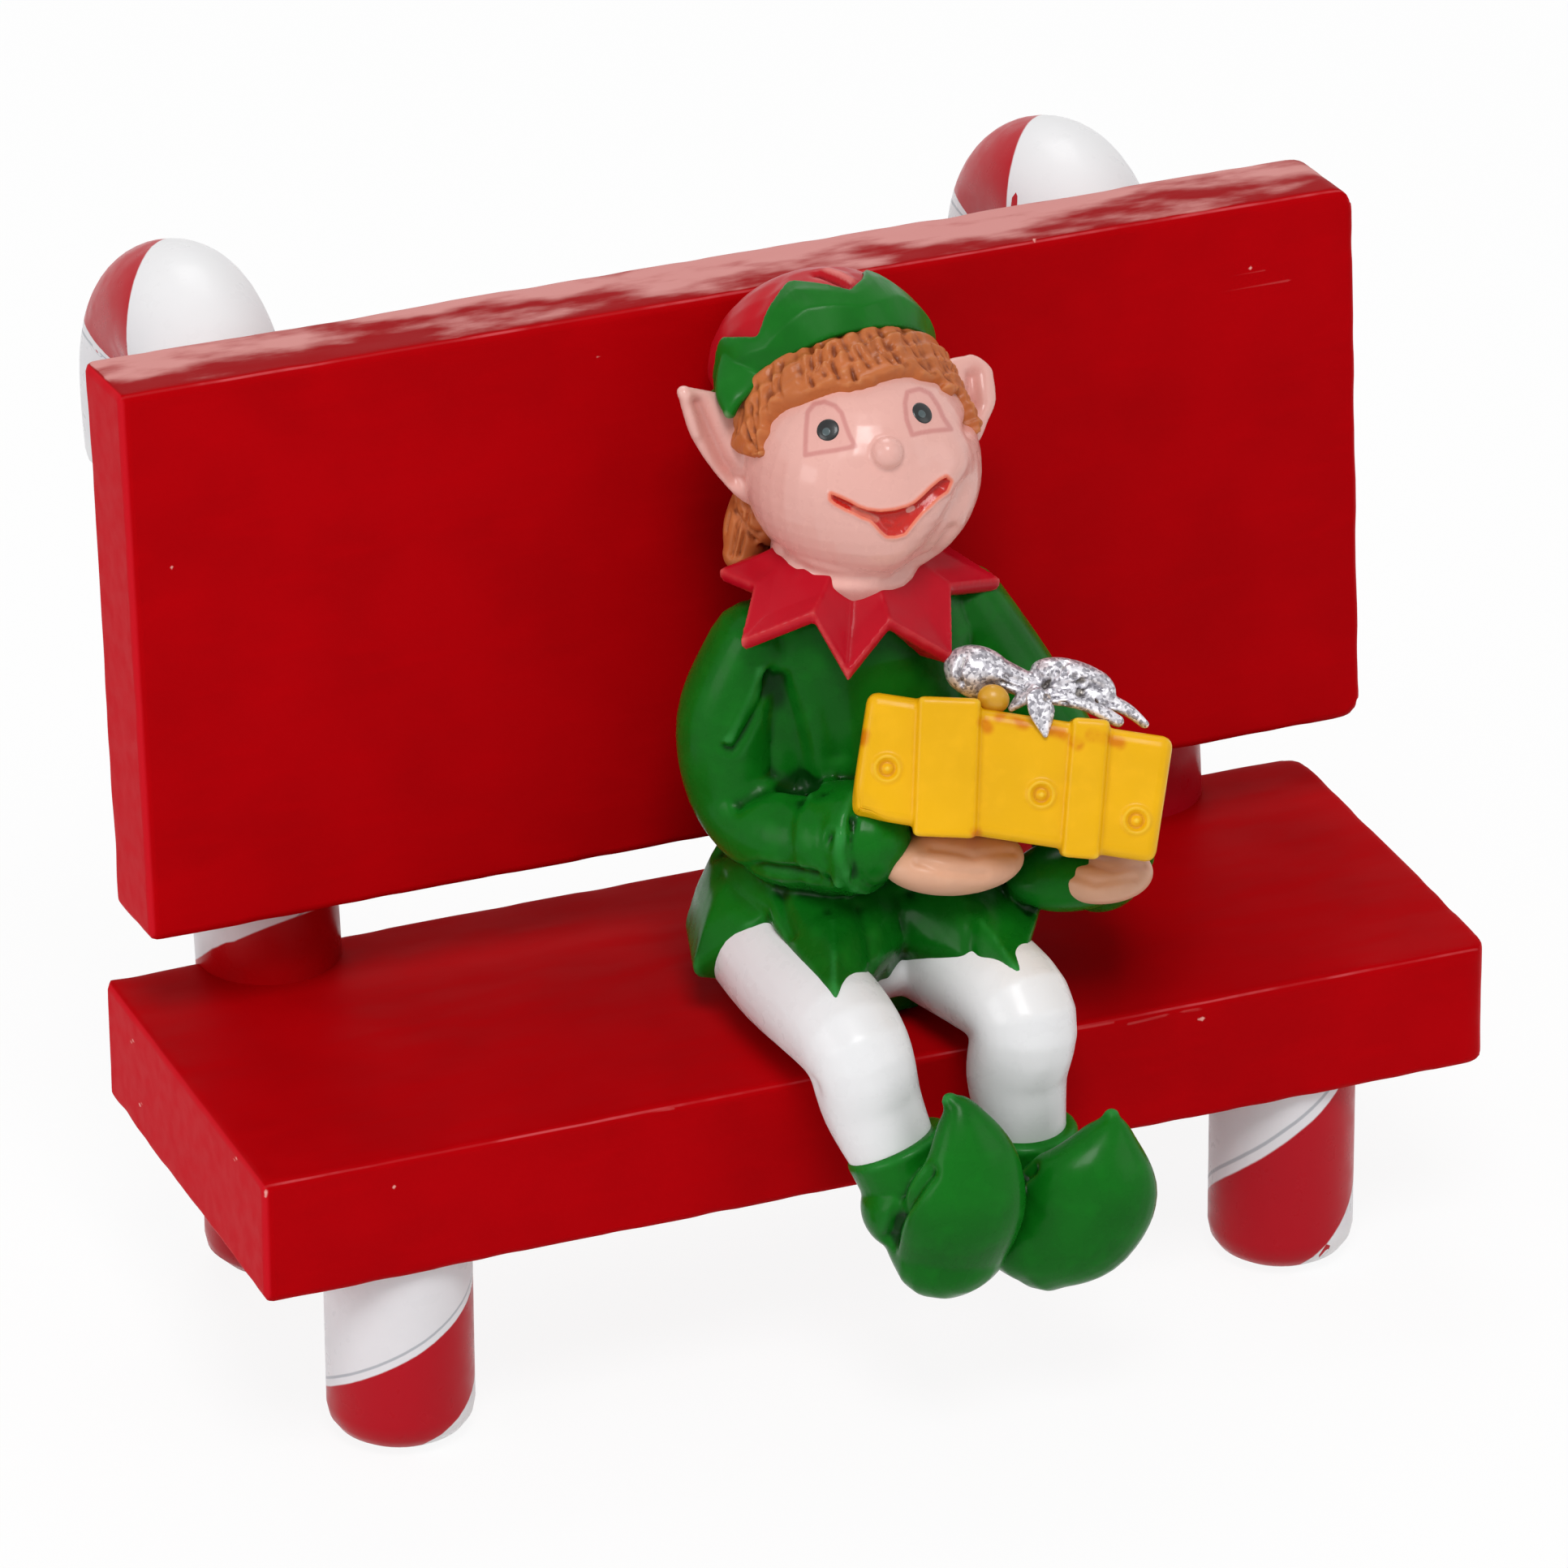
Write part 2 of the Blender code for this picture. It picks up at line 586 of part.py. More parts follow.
def ring_of_loops(name, loops, group):
    """A closed ring whose section runs through matching points of several loops."""
    shape = bmesh.new()
    rings = [[shape.verts.new(point) for point in loop] for loop in loops]
    count = len(loops[0])
    for index, ring in enumerate(rings):
        following_ring = rings[(index + 1) % len(rings)]
        for side in range(count):
            following = (side + 1) % count
            shape.faces.new((ring[side], ring[following], following_ring[following],
                             following_ring[side]))
    return finish_mesh(name, shape, group)


def make_collar(group):
    """A wide collar lying on the shoulders, cut in a star: tips and notches in turn."""
    star = [(-6.1, 5.4, 23.3), (-2.4, 4.5, 24.6), (-1.0, 3.2, 21.5), (1.7, 3.9, 23.7), (5.0, 3.4, 21.3),
            (6.1, 6.2, 23.9), (9.7, 8.0, 22.8), (7.4, 10.9, 24.2), (7.0, 13.9, 22.6), (2.3, 13.6, 24.4),
            (-2.2, 14.0, 22.9), (-3.2, 11.6, 24.8), (-5.3, 10.4, 25.0), (-4.3, 8.0, 25.0)]
    loops = [[], [], [], []]
    neck = COLLAR_CENTRE
    thick = Vector((0, 0, COLLAR_THICKNESS))
    for point in star:
        edge = body(*point)
        spread = Vector((edge.x - neck.x, edge.y - neck.y, 0)).normalized()
        inner = neck + spread * 2.6 * UNIT
        loops[0].append(inner - thick)
        loops[1].append(edge - thick - spread * COLLAR_THICKNESS / 2)
        loops[2].append(edge)
        loops[3].append(inner + Vector((0, 0, 2.0 * UNIT)))
    return ring_of_loops("collar", loops, group)


def gift_matrix():
    """The box's own axes: x along it, y into it and z up its front, as the figure holds it."""
    turn = Matrix.Rotation(GIFT_TURN, 3, "Z")
    tip = Matrix.Rotation(-GIFT_TIP, 3, "X")
    roll = Matrix.Rotation(GIFT_ROLL, 3, "Y")
    return turn @ tip @ roll


def make_gift(group):
    """The gift box with two raised ribbons, and the bow on its lid."""
    axes = gift_matrix()
    front = body(6.0, -2.2, 16.4)
    centre = front + axes @ Vector((0, GIFT_DEPTH / 2, 0))

    def block(name, size, offset, round_by):
        piece = box(name, size, group, round_by)
        corner = offset - Vector(size) / 2
        piece.matrix_world = Matrix.Translation(centre + axes @ corner) @ axes.to_4x4()
        bpy.context.view_layer.update()
        placed = piece.matrix_world.copy()
        apply_modifiers(piece)
        piece.data.transform(placed)
        piece.matrix_world = Matrix.Identity(4)
        return piece

    pieces = [block("gift_box", (GIFT_LENGTH, GIFT_DEPTH, GIFT_HEIGHT), Vector((0, 0, 0)), GIFT_ROUND)]
    wrap = 2 * RIBBON_RAISE
    ribbon = (RIBBON_WIDTH, GIFT_DEPTH + wrap, GIFT_HEIGHT + wrap)
    for name, place in (("left_ribbon", -RIBBON_LEFT), ("right_ribbon", RIBBON_RIGHT)):
        pieces.append(block(name, ribbon, Vector((place, 0, 0)), RIBBON_RAISE))
    lid = centre + axes @ Vector((0.6 * UNIT, -0.6 * UNIT, GIFT_HEIGHT / 2))
    for name, side in (("left_loop", -1), ("right_loop", 1)):
        place = lid + axes @ Vector((side * BOW_LOOP * 0.95, 0, BOW_LOOP * 0.42))
        turn = axes @ Matrix.Rotation(side * 0.35, 3, "Y")
        radii = (BOW_LOOP, BOW_LOOP * 0.62, BOW_LOOP * 0.5)
        pieces.append(ball(name, place, radii, group, turn=turn, segments=16, rings=10))
    knot = lid + axes @ Vector((0, -0.2 * UNIT, BOW_LOOP * 0.35))
    pieces.append(ball("knot", knot, [BOW_LOOP * 0.45] * 3, group, segments=12, rings=8))
    for name, reach in (("middle_tail", (-0.1, -3.2, -1.2)), ("right_tail", (4.9, -2.0, -0.9))):
        end = knot + axes @ (Vector(reach) * UNIT)
        line = [station(knot, 0.9 * UNIT, 0.45 * UNIT), station(end, 0.7 * UNIT, 0.4 * UNIT)]
        pieces.append(sweep(name, line, group, steps=2, sides=10, facing=axes @ Vector((0, 0, 1))))
    return pieces


def make_figure(group):
    pieces = [make_tunic(group)]
    pieces += make_legs_of_figure(group)
    pieces += make_shoes(group)
    pieces += make_arms(group)
    pieces += make_head(group)
    pieces += make_cap(group)
    pieces.append(make_collar(group))
    pieces += make_gift(group)
    return pieces


def stand_on_ground(items):
    """Move everything so that the middle of the underside of its box is the origin."""
    corners = [vertex.co for item in items for vertex in item.data.vertices]
    low = Vector(min(c[axis] for c in corners) for axis in range(3))
    high = Vector(max(c[axis] for c in corners) for axis in range(3))
    shift = Vector(((low.x + high.x) / 2, (low.y + high.y) / 2, low.z))
    for item in items:
        item.data.transform(Matrix.Translation(-shift))


def build():
    clear_scene()
    parts = new_collection("elf_on_bench")
    drafts = new_collection("forms")
    red = paint("red_paint", (0.42, 0.004, 0.008), 0.35)
    green = paint("green_paint", (0.01, 0.14, 0.02), 0.35)
    bench = join("bench", make_boards(drafts) + make_legs(drafts), parts, red)
    elf = join("elf", make_figure(drafts), parts, green)
    stand_on_ground([bench, elf])
    bpy.data.collections.remove(drafts)


build()
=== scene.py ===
# %% [markdown]
# An elf on a candy-cane bench
#
# This lesson dresses a small cast-resin figurine. The real one is two castings, a bench and a
# seated elf with a gift box, painted by hand with glossy paint.

# %% Load the frame
import math
import bpy
import numpy as np
from mathutils import Matrix, Vector, noise
from mathutils.bvhtree import BVHTree


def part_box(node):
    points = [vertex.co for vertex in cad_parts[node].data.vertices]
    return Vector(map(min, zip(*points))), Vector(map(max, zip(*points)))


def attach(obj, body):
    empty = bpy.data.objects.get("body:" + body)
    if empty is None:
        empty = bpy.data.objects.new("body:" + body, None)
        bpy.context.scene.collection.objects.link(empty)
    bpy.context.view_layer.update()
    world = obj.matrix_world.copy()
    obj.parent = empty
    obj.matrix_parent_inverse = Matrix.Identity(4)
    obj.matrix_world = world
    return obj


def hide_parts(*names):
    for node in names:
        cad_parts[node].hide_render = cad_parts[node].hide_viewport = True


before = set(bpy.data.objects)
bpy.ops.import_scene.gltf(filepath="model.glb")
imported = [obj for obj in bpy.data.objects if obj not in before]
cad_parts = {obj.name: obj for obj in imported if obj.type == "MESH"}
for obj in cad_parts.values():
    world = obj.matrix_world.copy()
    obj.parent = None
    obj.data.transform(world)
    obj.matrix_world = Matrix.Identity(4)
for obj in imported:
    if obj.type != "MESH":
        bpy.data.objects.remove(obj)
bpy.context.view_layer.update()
BENCH_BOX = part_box("bench")
print("bench from", BENCH_BOX[0], "to", BENCH_BOX[1])

# %% [markdown]
# Sizes
#
# All drawing is done in millimetres, from the middle of the seat's front top edge: x to the
# right, y to the rear, z up. One helper turns such a point into the frame's metres. The values
# are the ones that the CAD model was made from, so both agree.

# %% Drawing sizes and the drawing's origin
MM = 0.001
SEAT_TOP = 18.4 * MM
SEAT_FRONT = BENCH_BOX[0][1]
ORIGIN = Vector((0, SEAT_FRONT, SEAT_TOP))

BENCH_LENGTH = 70.0
SEAT_DEPTH = 25.0
SEAT_THICKNESS = 7.1
BOARD_HEIGHT = 30.8
BOARD_THICKNESS = 5.8
BOARD_LEAN = math.radians(4.2)
BOARD_LIFT = 6.0
BOARD_FOOT = 16.9
CANE_RADIUS = 3.95
CANE_LEAN = math.radians(10.0)
HOOK_RADIUS = 5.8
HOOK_TAIL = 2.5
LEG_HEIGHT = 11.3
LEG_SETBACK = 4.6
GLUE_GAP = 0.3


def at(x, y, z):
    """A drawn point, in millimetres, as a point of the frame, in metres."""
    return ORIGIN + Vector((x, y, z)) * MM


print("the drawing's origin is", ORIGIN)

# %% [markdown]
# The camera
#
# The photo was taken with a long lens from the front left and above. Its place was worked out
# from the bench's straight edges, so that a point of the model lands on its pixel of the
# photo. The same numbers also turn a pixel back into a ray, which later puts small painted
# details exactly where the photo shows them.

# %% Camera
PHOTO_WIDTH = 1932
FOCAL_PIXELS = 14010.0
SENSOR = 36.0
YAW, PITCH, ROLL = (math.radians(a) for a in (21.93, 26.59, -0.355))
ahead = Vector((math.sin(YAW) * math.cos(PITCH), math.cos(YAW) * math.cos(PITCH), -math.sin(PITCH)))
level = Vector((math.cos(YAW), -math.sin(YAW), 0))
upright = level.cross(ahead)
right = math.cos(ROLL) * level + math.sin(ROLL) * upright
up = -math.sin(ROLL) * level + math.cos(ROLL) * upright
eye = ORIGIN + (right * -5.552 + up * 14.705 - ahead * 598.87) * MM

bpy.ops.object.camera_add()
camera = bpy.context.object
camera.name = "photo_camera"
camera.matrix_world = Matrix.Translation(eye) @ Matrix((right, up, -ahead)).transposed().to_4x4()
camera.data.sensor_width = SENSOR
camera.data.lens = SENSOR * FOCAL_PIXELS / PHOTO_WIDTH
camera.data.clip_start = 0.01
camera.data.clip_end = 10
bpy.context.scene.camera = camera
print("lens", round(camera.data.lens, 1), "mm, distance", round(eye.length, 3), "m")

# %% [markdown]
# Tools of the modeller
#
# A few helpers do what a hand would do again and again. The first ones pick one piece, put
# its place, turn and scale into its mesh, and add a modifier and apply it at once.

# %% Selecting and finishing
def pick_only(piece):
    """Make a piece the only selected one, and the active one."""
    bpy.ops.object.select_all(action="DESELECT")
    piece.select_set(True)
    bpy.context.view_layer.objects.active = piece


def settle(piece):
    """Put the object's place, turn and scale into its mesh."""
    pick_only(piece)
    bpy.ops.object.transform_apply(location=True, rotation=True, scale=True)
    return piece


def use_modifier(piece, kind, **values):
    """Add a modifier, set its values and apply it."""
    pick_only(piece)
    modifier = piece.modifiers.new(kind.title(), kind)
    for key, value in values.items():
        setattr(modifier, key, value)
    bpy.ops.object.modifier_apply(modifier=modifier.name)
    return piece


# %% [markdown]
# Tubes and lofts
#
# Limbs and canes are bars that bend and swell. A tube is a cylinder primitive, cut into rings
# in edit mode, whose rings are then moved along a smooth curve through a few drawn stations. A
# loft is the same with rings of any drawn shape, for forms such as the tunic and the cap.

# %% Tube and loft
def smooth_line(stations, steps):
    """Stations on a smooth curve through the given ones (Catmull-Rom)."""
    points = np.array(stations, float)
    padded = np.vstack([points[0], points, points[-1]])
    line = []
    for i in range(len(points) - 1):
        p0, p1, p2, p3 = padded[i:i + 4]
        for t in np.arange(steps) / steps:
            line.append(0.5 * (2 * p1 + (p2 - p0) * t + (2 * p0 - 5 * p1 + 4 * p2 - p3) * t ** 2
                               + (3 * p1 - p0 - 3 * p2 + p3) * t ** 3))
    line.append(points[-1])
    return np.array(line)


def ringed_cylinder(name, sides, rings):
    """A cylinder primitive cut into rings, with the ring and the side of every vertex."""
    bpy.ops.object.select_all(action="DESELECT")
    bpy.ops.mesh.primitive_cylinder_add(vertices=sides, radius=1, depth=1, end_fill_type="NGON")
    piece = bpy.context.object
    piece.name = name
    bpy.ops.object.mode_set(mode="EDIT")
    bpy.ops.mesh.select_all(action="DESELECT")
    bpy.ops.object.mode_set(mode="OBJECT")
    for edge in piece.data.edges:
        a, b = (piece.data.vertices[v].co for v in edge.vertices)
        edge.select = abs(a.z - b.z) > 0.5
    bpy.ops.object.mode_set(mode="EDIT")
    bpy.ops.mesh.select_mode(type="EDGE")
    bpy.ops.mesh.subdivide(number_cuts=rings - 2)
    bpy.ops.object.mode_set(mode="OBJECT")
    co = np.array([v.co for v in piece.data.vertices])
    ring = np.rint((co[:, 2] + 0.5) * (rings - 1)).astype(int)
    side = np.rint(np.arctan2(co[:, 1], co[:, 0]) / (2 * math.pi) * sides).astype(int) % sides
    return piece, ring, side


def loft(name, loops):
    """A closed body through loops of equally many drawn points."""
    loops = np.array(loops, float)
    piece, ring, side = ringed_cylinder(name, loops.shape[1], loops.shape[0])
    place = loops[ring, side] * MM + np.array(ORIGIN)
    piece.data.vertices.foreach_set("co", place.ravel())
    pick_only(piece)
    bpy.ops.object.mode_set(mode="EDIT")
    bpy.ops.mesh.select_all(action="SELECT")
    bpy.ops.mesh.normals_make_consistent(inside=False)
    bpy.ops.object.mode_set(mode="OBJECT")
    return piece


END_TURNS = (0.4, 0.8, 1.2, 1.48)


def tube_loops(stations, sides, steps, facing, dome):
    """Rings round a smooth line. A station is x, y, z, its half width and its half thickness.

    Its ends are rounded off. With a dome of 1 they are half balls, with less they are blunt.
    """
    line = smooth_line([s if len(s) == 5 else (*s, s[3]) for s in stations], steps)
    facing = Vector(facing)
    turn = 2 * math.pi * np.arange(sides) / sides
    loops = []
    for index, row in enumerate(line):
        after = Vector(line[min(index + 1, len(line) - 1)][:3])
        before = Vector(line[max(index - 1, 0)][:3])
        along = (after - before).normalized()
        across = along.cross(facing).normalized()
        over = across.cross(along).normalized()
        end = [(dome * math.sin(a), 1 - dome + dome * math.cos(a)) for a in END_TURNS]
        shifts = [(0.0, 1.0)]
        if index == 0:
            shifts = [(-shift, shrink) for shift, shrink in end[::-1]] + shifts
        if index == len(line) - 1:
            shifts = shifts + end
        for shift, shrink in shifts:
            middle = Vector(row[:3]) + along * shift * min(row[3], row[4])
            loops.append(np.array(middle) + np.outer(np.cos(turn), across) * row[3] * shrink
                         + np.outer(np.sin(turn), over) * row[4] * shrink)
    return loops


def tube(name, stations, sides=28, steps=6, facing=(0, 0, 1), dome=1.0):
    """A bar along a smooth line through stations, with its flat side towards the facing."""
    return loft(name, tube_loops(stations, sides, steps, facing, dome))


print("a tube's end is rounded off by", len(END_TURNS), "rings")

# %% [markdown]
# Castings and pressed lines
#
# The real figure is one pour of resin, so its forms flow into each other. Here draft forms are
# joined and remeshed into one skin, which rounds the inner corners just as paint and resin do.
# Creases are then pressed in along lines, each with a width and a depth in millimetres.

# %% Eggs, castings and pressed lines
def egg(name, centre, radii, turn=None):
    """A sphere primitive, stretched and turned to its place."""
    bpy.ops.object.select_all(action="DESELECT")
    bpy.ops.mesh.primitive_uv_sphere_add(segments=40, ring_count=24, radius=MM)
    piece = bpy.context.object
    piece.name = name
    bpy.ops.transform.resize(value=radii)
    settle(piece)
    if turn is not None:
        piece.data.transform(turn.to_4x4())
    piece.data.transform(Matrix.Translation(at(*centre)))
    return piece


def cast(name, forms, voxel, smooth=3):
    """Join draft forms and remesh them into one casting."""
    bpy.ops.object.select_all(action="DESELECT")
    for form in forms:
        form.select_set(True)
    bpy.context.view_layer.objects.active = forms[0]
    if len(forms) > 1:
        bpy.ops.object.join()
    piece = bpy.context.object
    piece.name = name
    use_modifier(piece, "REMESH", mode="VOXEL", voxel_size=voxel * MM)
    if smooth:
        use_modifier(piece, "SMOOTH", factor=0.5, iterations=smooth)
    bpy.ops.object.shade_smooth()
    print(name, "has", len(piece.data.polygons), "faces")
    return piece


def mesh_arrays(piece):
    """The places and the normals of all vertices, as two tables."""
    count = len(piece.data.vertices)
    co = np.empty(count * 3)
    normal = np.empty(count * 3)
    piece.data.vertices.foreach_get("co", co)
    piece.data.vertices.foreach_get("normal", normal)
    return co.reshape(-1, 3), normal.reshape(-1, 3)


def move_vertices(piece, co):
    """Put all vertices at new places."""
    piece.data.vertices.foreach_set("co", np.ascontiguousarray(co).ravel())
    piece.data.update()


def distance_to_line(co, points):
    """How far each vertex is from a line through points, in metres."""
    best = np.full(len(co), 1e9)
    points = [np.array(p) for p in points]
    if len(points) == 1:
        points = points * 2
    for a, b in zip(points, points[1:]):
        span = b - a
        share = np.clip((co - a) @ span / max(span @ span, 1e-12), 0, 1)
        best = np.minimum(best, np.linalg.norm(co - a - share[:, None] * span, axis=1))
    return best


def press(piece, points, width, depth):
    """Push a soft groove along a line of frame points; a negative depth raises a ridge."""
    co, normal = mesh_arrays(piece)
    away = distance_to_line(co, points) / (width * MM)
    co -= normal * (depth * MM * np.exp(-away ** 2))[:, None]
    move_vertices(piece, co)
    SKINS.pop(piece.name, None)


def carve(piece, lines):
    """Press many grooves at once, so that they don't deepen each other where they meet."""
    co, normal = mesh_arrays(piece)
    deepest = np.zeros(len(co))
    for points, width, depth in lines:
        if len(points) > 1:
            away = distance_to_line(co, points) / (width * MM)
            deepest = np.maximum(deepest, depth * np.exp(-away ** 2))
    move_vertices(piece, co - normal * (deepest * MM)[:, None])
    SKINS.pop(piece.name, None)


def step(value, low, high):
    """0 below the low value and 1 above the high one, with a soft change between."""
    share = np.clip((value - low) / (high - low), 0, 1)
    return share * share * (3 - 2 * share)


# %% [markdown]
# Reading places from the photo
#
# The camera's numbers turn a pixel into a ray. Where the ray meets a piece is the place that
# the photo shows there, so folds, painted edges and small marks can be given by their pixels.
# A vertex can also keep its distance to such a line, for the paint to read. Last comes the
# helper that ends every piece: it gives the paint, the body and the CAD node that is replaced.

# %% Pixels, stored values and finished pieces
def pixel_ray(px, py):
    """The direction in which the camera sees a pixel of the photo."""
    middle = PHOTO_WIDTH / 2
    return (ahead * FOCAL_PIXELS + right * (px - middle) - up * (py - middle)).normalized()


SKINS = {}
PIXELS_PER_MM = 23.4
NOT_IN_FRONT = 9.0


def skin(piece):
    """A search tree of a piece's faces, kept for the next question about the same piece."""
    if piece.name not in SKINS:
        SKINS[piece.name] = BVHTree.FromPolygons([v.co for v in piece.data.vertices],
                                                 [p.vertices for p in piece.data.polygons])
    return SKINS[piece.name]


def seen(piece, pixels):
    """The points of a piece that the photo shows at these pixels."""
    found = []
    for px, py in pixels:
        hit = skin(piece).ray_cast(eye, pixel_ray(px, py))
        if hit[0] is not None:
            found.append(hit[0])
    if len(found) < len(pixels):
        print(piece.name, "misses", len(pixels) - len(found), "of", len(pixels), "pixels")
    return found


def pixels_of(co):
    """Where the photo shows these points, as columns and rows."""
    away = co - np.array(eye)
    deep = away @ np.array(ahead) / FOCAL_PIXELS
    return np.stack([PHOTO_WIDTH / 2 + away @ np.array(right) / deep,
                     PHOTO_WIDTH / 2 - away @ np.array(up) / deep], axis=1)


def store(piece, name, values):
    """Keep a value for each vertex, for the paint to read."""
    piece.data.attributes.new(name, "FLOAT", "POINT").data.foreach_set("value", values)


def outside(piece, outline, closed=True):
    """How far each front vertex lies outside an outline of pixels, in mm; inside is below 0."""
    co, normal = mesh_arrays(piece)
    spots = pixels_of(co)
    ring = [np.array(p, float) for p in outline]
    away = distance_to_line(spots, ring + ring[:1] if closed else ring) / PIXELS_PER_MM
    if closed:
        within = np.zeros(len(spots), bool)
        for (ax, ay), (bx, by) in zip(ring, ring[1:] + ring[:1]):
            crosses = (ay > spots[:, 1]) != (by > spots[:, 1])
            reach = ax + (bx - ax) * (spots[:, 1] - ay) / (by - ay if by != ay else 1e-9)
            within ^= crosses & (spots[:, 0] < reach)
        away = np.where(within, -away, away)
    return np.where(normal @ np.array(ahead) < 0.1, away, NOT_IN_FRONT)


def finished(piece, material, node):
    """A finished piece gets its paint, rides on the only body and stands for its CAD node."""
    piece.data.materials.clear()
    piece.data.materials.append(material)
    pick_only(piece)
    bpy.ops.object.shade_smooth()
    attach(piece, "root")
    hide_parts(node)
    return piece


print("one millimetre covers about", PIXELS_PER_MM, "pixels of the photo")

# %% [markdown]
# Paints
#
# All the colours are one kind of paint: brushed-on, rather glossy, and thin enough that it
# pools in the hollows. Each paint is a base colour that gets darker in hollows, partly as
# pooled paint and partly as painted shade, and paler on ridges, partly as wear and partly as a
# painted highlight. How hollow a place is comes from an attribute that is measured on each
# finished mesh. Faint noise in colour and gloss stands for the brush, and a fine bump for the
# skin of the paint.

# %% Measuring hollows
def mark_hollows(piece, reach=4):
    """Store how far each vertex lies below its neighbours: hollows above 0, ridges below."""
    co, normal = mesh_arrays(piece)
    edges = np.empty(len(piece.data.edges) * 2, int)
    piece.data.edges.foreach_get("vertices", edges)
    a, b = edges.reshape(-1, 2).T
    count = np.bincount(a, minlength=len(co)) + np.bincount(b, minlength=len(co))
    count = np.maximum(count, 1)[:, None]

    def spread(values):
        total = np.zeros_like(values)
        np.add.at(total, a, values[b])
        np.add.at(total, b, values[a])
        return total / count

    soft = co
    for _ in range(reach):
        soft = spread(soft)
    depth = np.einsum("ij,ij->i", soft - co, normal)[:, None] / MM
    for _ in range(2):
        depth = spread(depth)
    store(piece, "hollow", depth.ravel())
    print(piece.name, "hollows from", round(float(depth.min()), 3), "to", round(float(depth.max()), 3))


# %% [markdown]
# Building a paint
#
# Shader nodes can be added in code, one call each. Small helpers keep that short: they mix two
# colours, turn one range of values into another, or make a noise on Object coordinates, which
# stays with the piece however it is seen. The last one, paint, puts them together into the
# kind of gloss paint that the whole figurine has.

# %% Building a paint
def node(tree, kind, **values):
    """Add a node of some kind to a material and set its properties."""
    made = tree.nodes.new(kind)
    for key, value in values.items():
        setattr(made, key, value)
    return made


def mix_colour(tree, factor, first, second, blend="MIX"):
    """A colour mix whose inputs are sockets or plain colours. Returns its result socket."""
    made = node(tree, "ShaderNodeMix", data_type="RGBA", blend_type=blend)
    for slot_number, value in ((0, factor), (6, first), (7, second)):
        if isinstance(value, bpy.types.NodeSocket):
            tree.links.new(value, made.inputs[slot_number])
        elif slot_number:
            made.inputs[slot_number].default_value = (*value, 1.0)
        else:
            made.inputs[slot_number].default_value = value
    return made.outputs[2]


def remap(tree, value, low, high, to_low=0.0, to_high=1.0):
    """Turn a range of values into another one, with a soft change between."""
    made = node(tree, "ShaderNodeMapRange", interpolation_type="SMOOTHSTEP")
    tree.links.new(value, made.inputs["Value"])
    for key, number in (("From Min", low), ("From Max", high), ("To Min", to_low), ("To Max", to_high)):
        made.inputs[key].default_value = number
    return made.outputs["Result"]


def texture(tree, scale, detail=4.0, stretch=(1, 1, 1), kind="ShaderNodeTexNoise", output=0):
    """A noise on Object coordinates. The scale is in features per metre."""
    place = node(tree, "ShaderNodeTexCoord")
    mapping = node(tree, "ShaderNodeMapping")
    mapping.inputs["Scale"].default_value = stretch
    tree.links.new(place.outputs["Object"], mapping.inputs["Vector"])
    made = node(tree, kind)
    made.inputs["Scale"].default_value = scale
    if "Detail" in made.inputs:
        made.inputs["Detail"].default_value = detail
    tree.links.new(mapping.outputs["Vector"], made.inputs["Vector"])
    return made.outputs[output]


def attribute(tree, name):
    """The value that each vertex stores under a name."""
    return node(tree, "ShaderNodeAttribute", attribute_name=name).outputs["Fac"]


def arithmetic(tree, operation, first, second=0.0):
    """A sum, product or the like of two sockets or plain numbers. Returns its socket."""
    made = node(tree, "ShaderNodeMath", operation=operation)
    for socket, value in zip(made.inputs, (first, second)):
        if isinstance(value, bpy.types.NodeSocket):
            tree.links.new(value, socket)
        else:
            socket.default_value = value
    return made.outputs[0]


def product(tree, first, second):
    """Two values times each other, such as a mask and how strongly it shows."""
    return arithmetic(tree, "MULTIPLY", first, second)


def top_coat(material):
    """What it takes to paint over a material: its nodes, its shader and its colour so far."""
    shader = material.node_tree.nodes["Principled BSDF"]
    return material.node_tree, shader, shader.inputs["Base Color"].links[0].from_socket


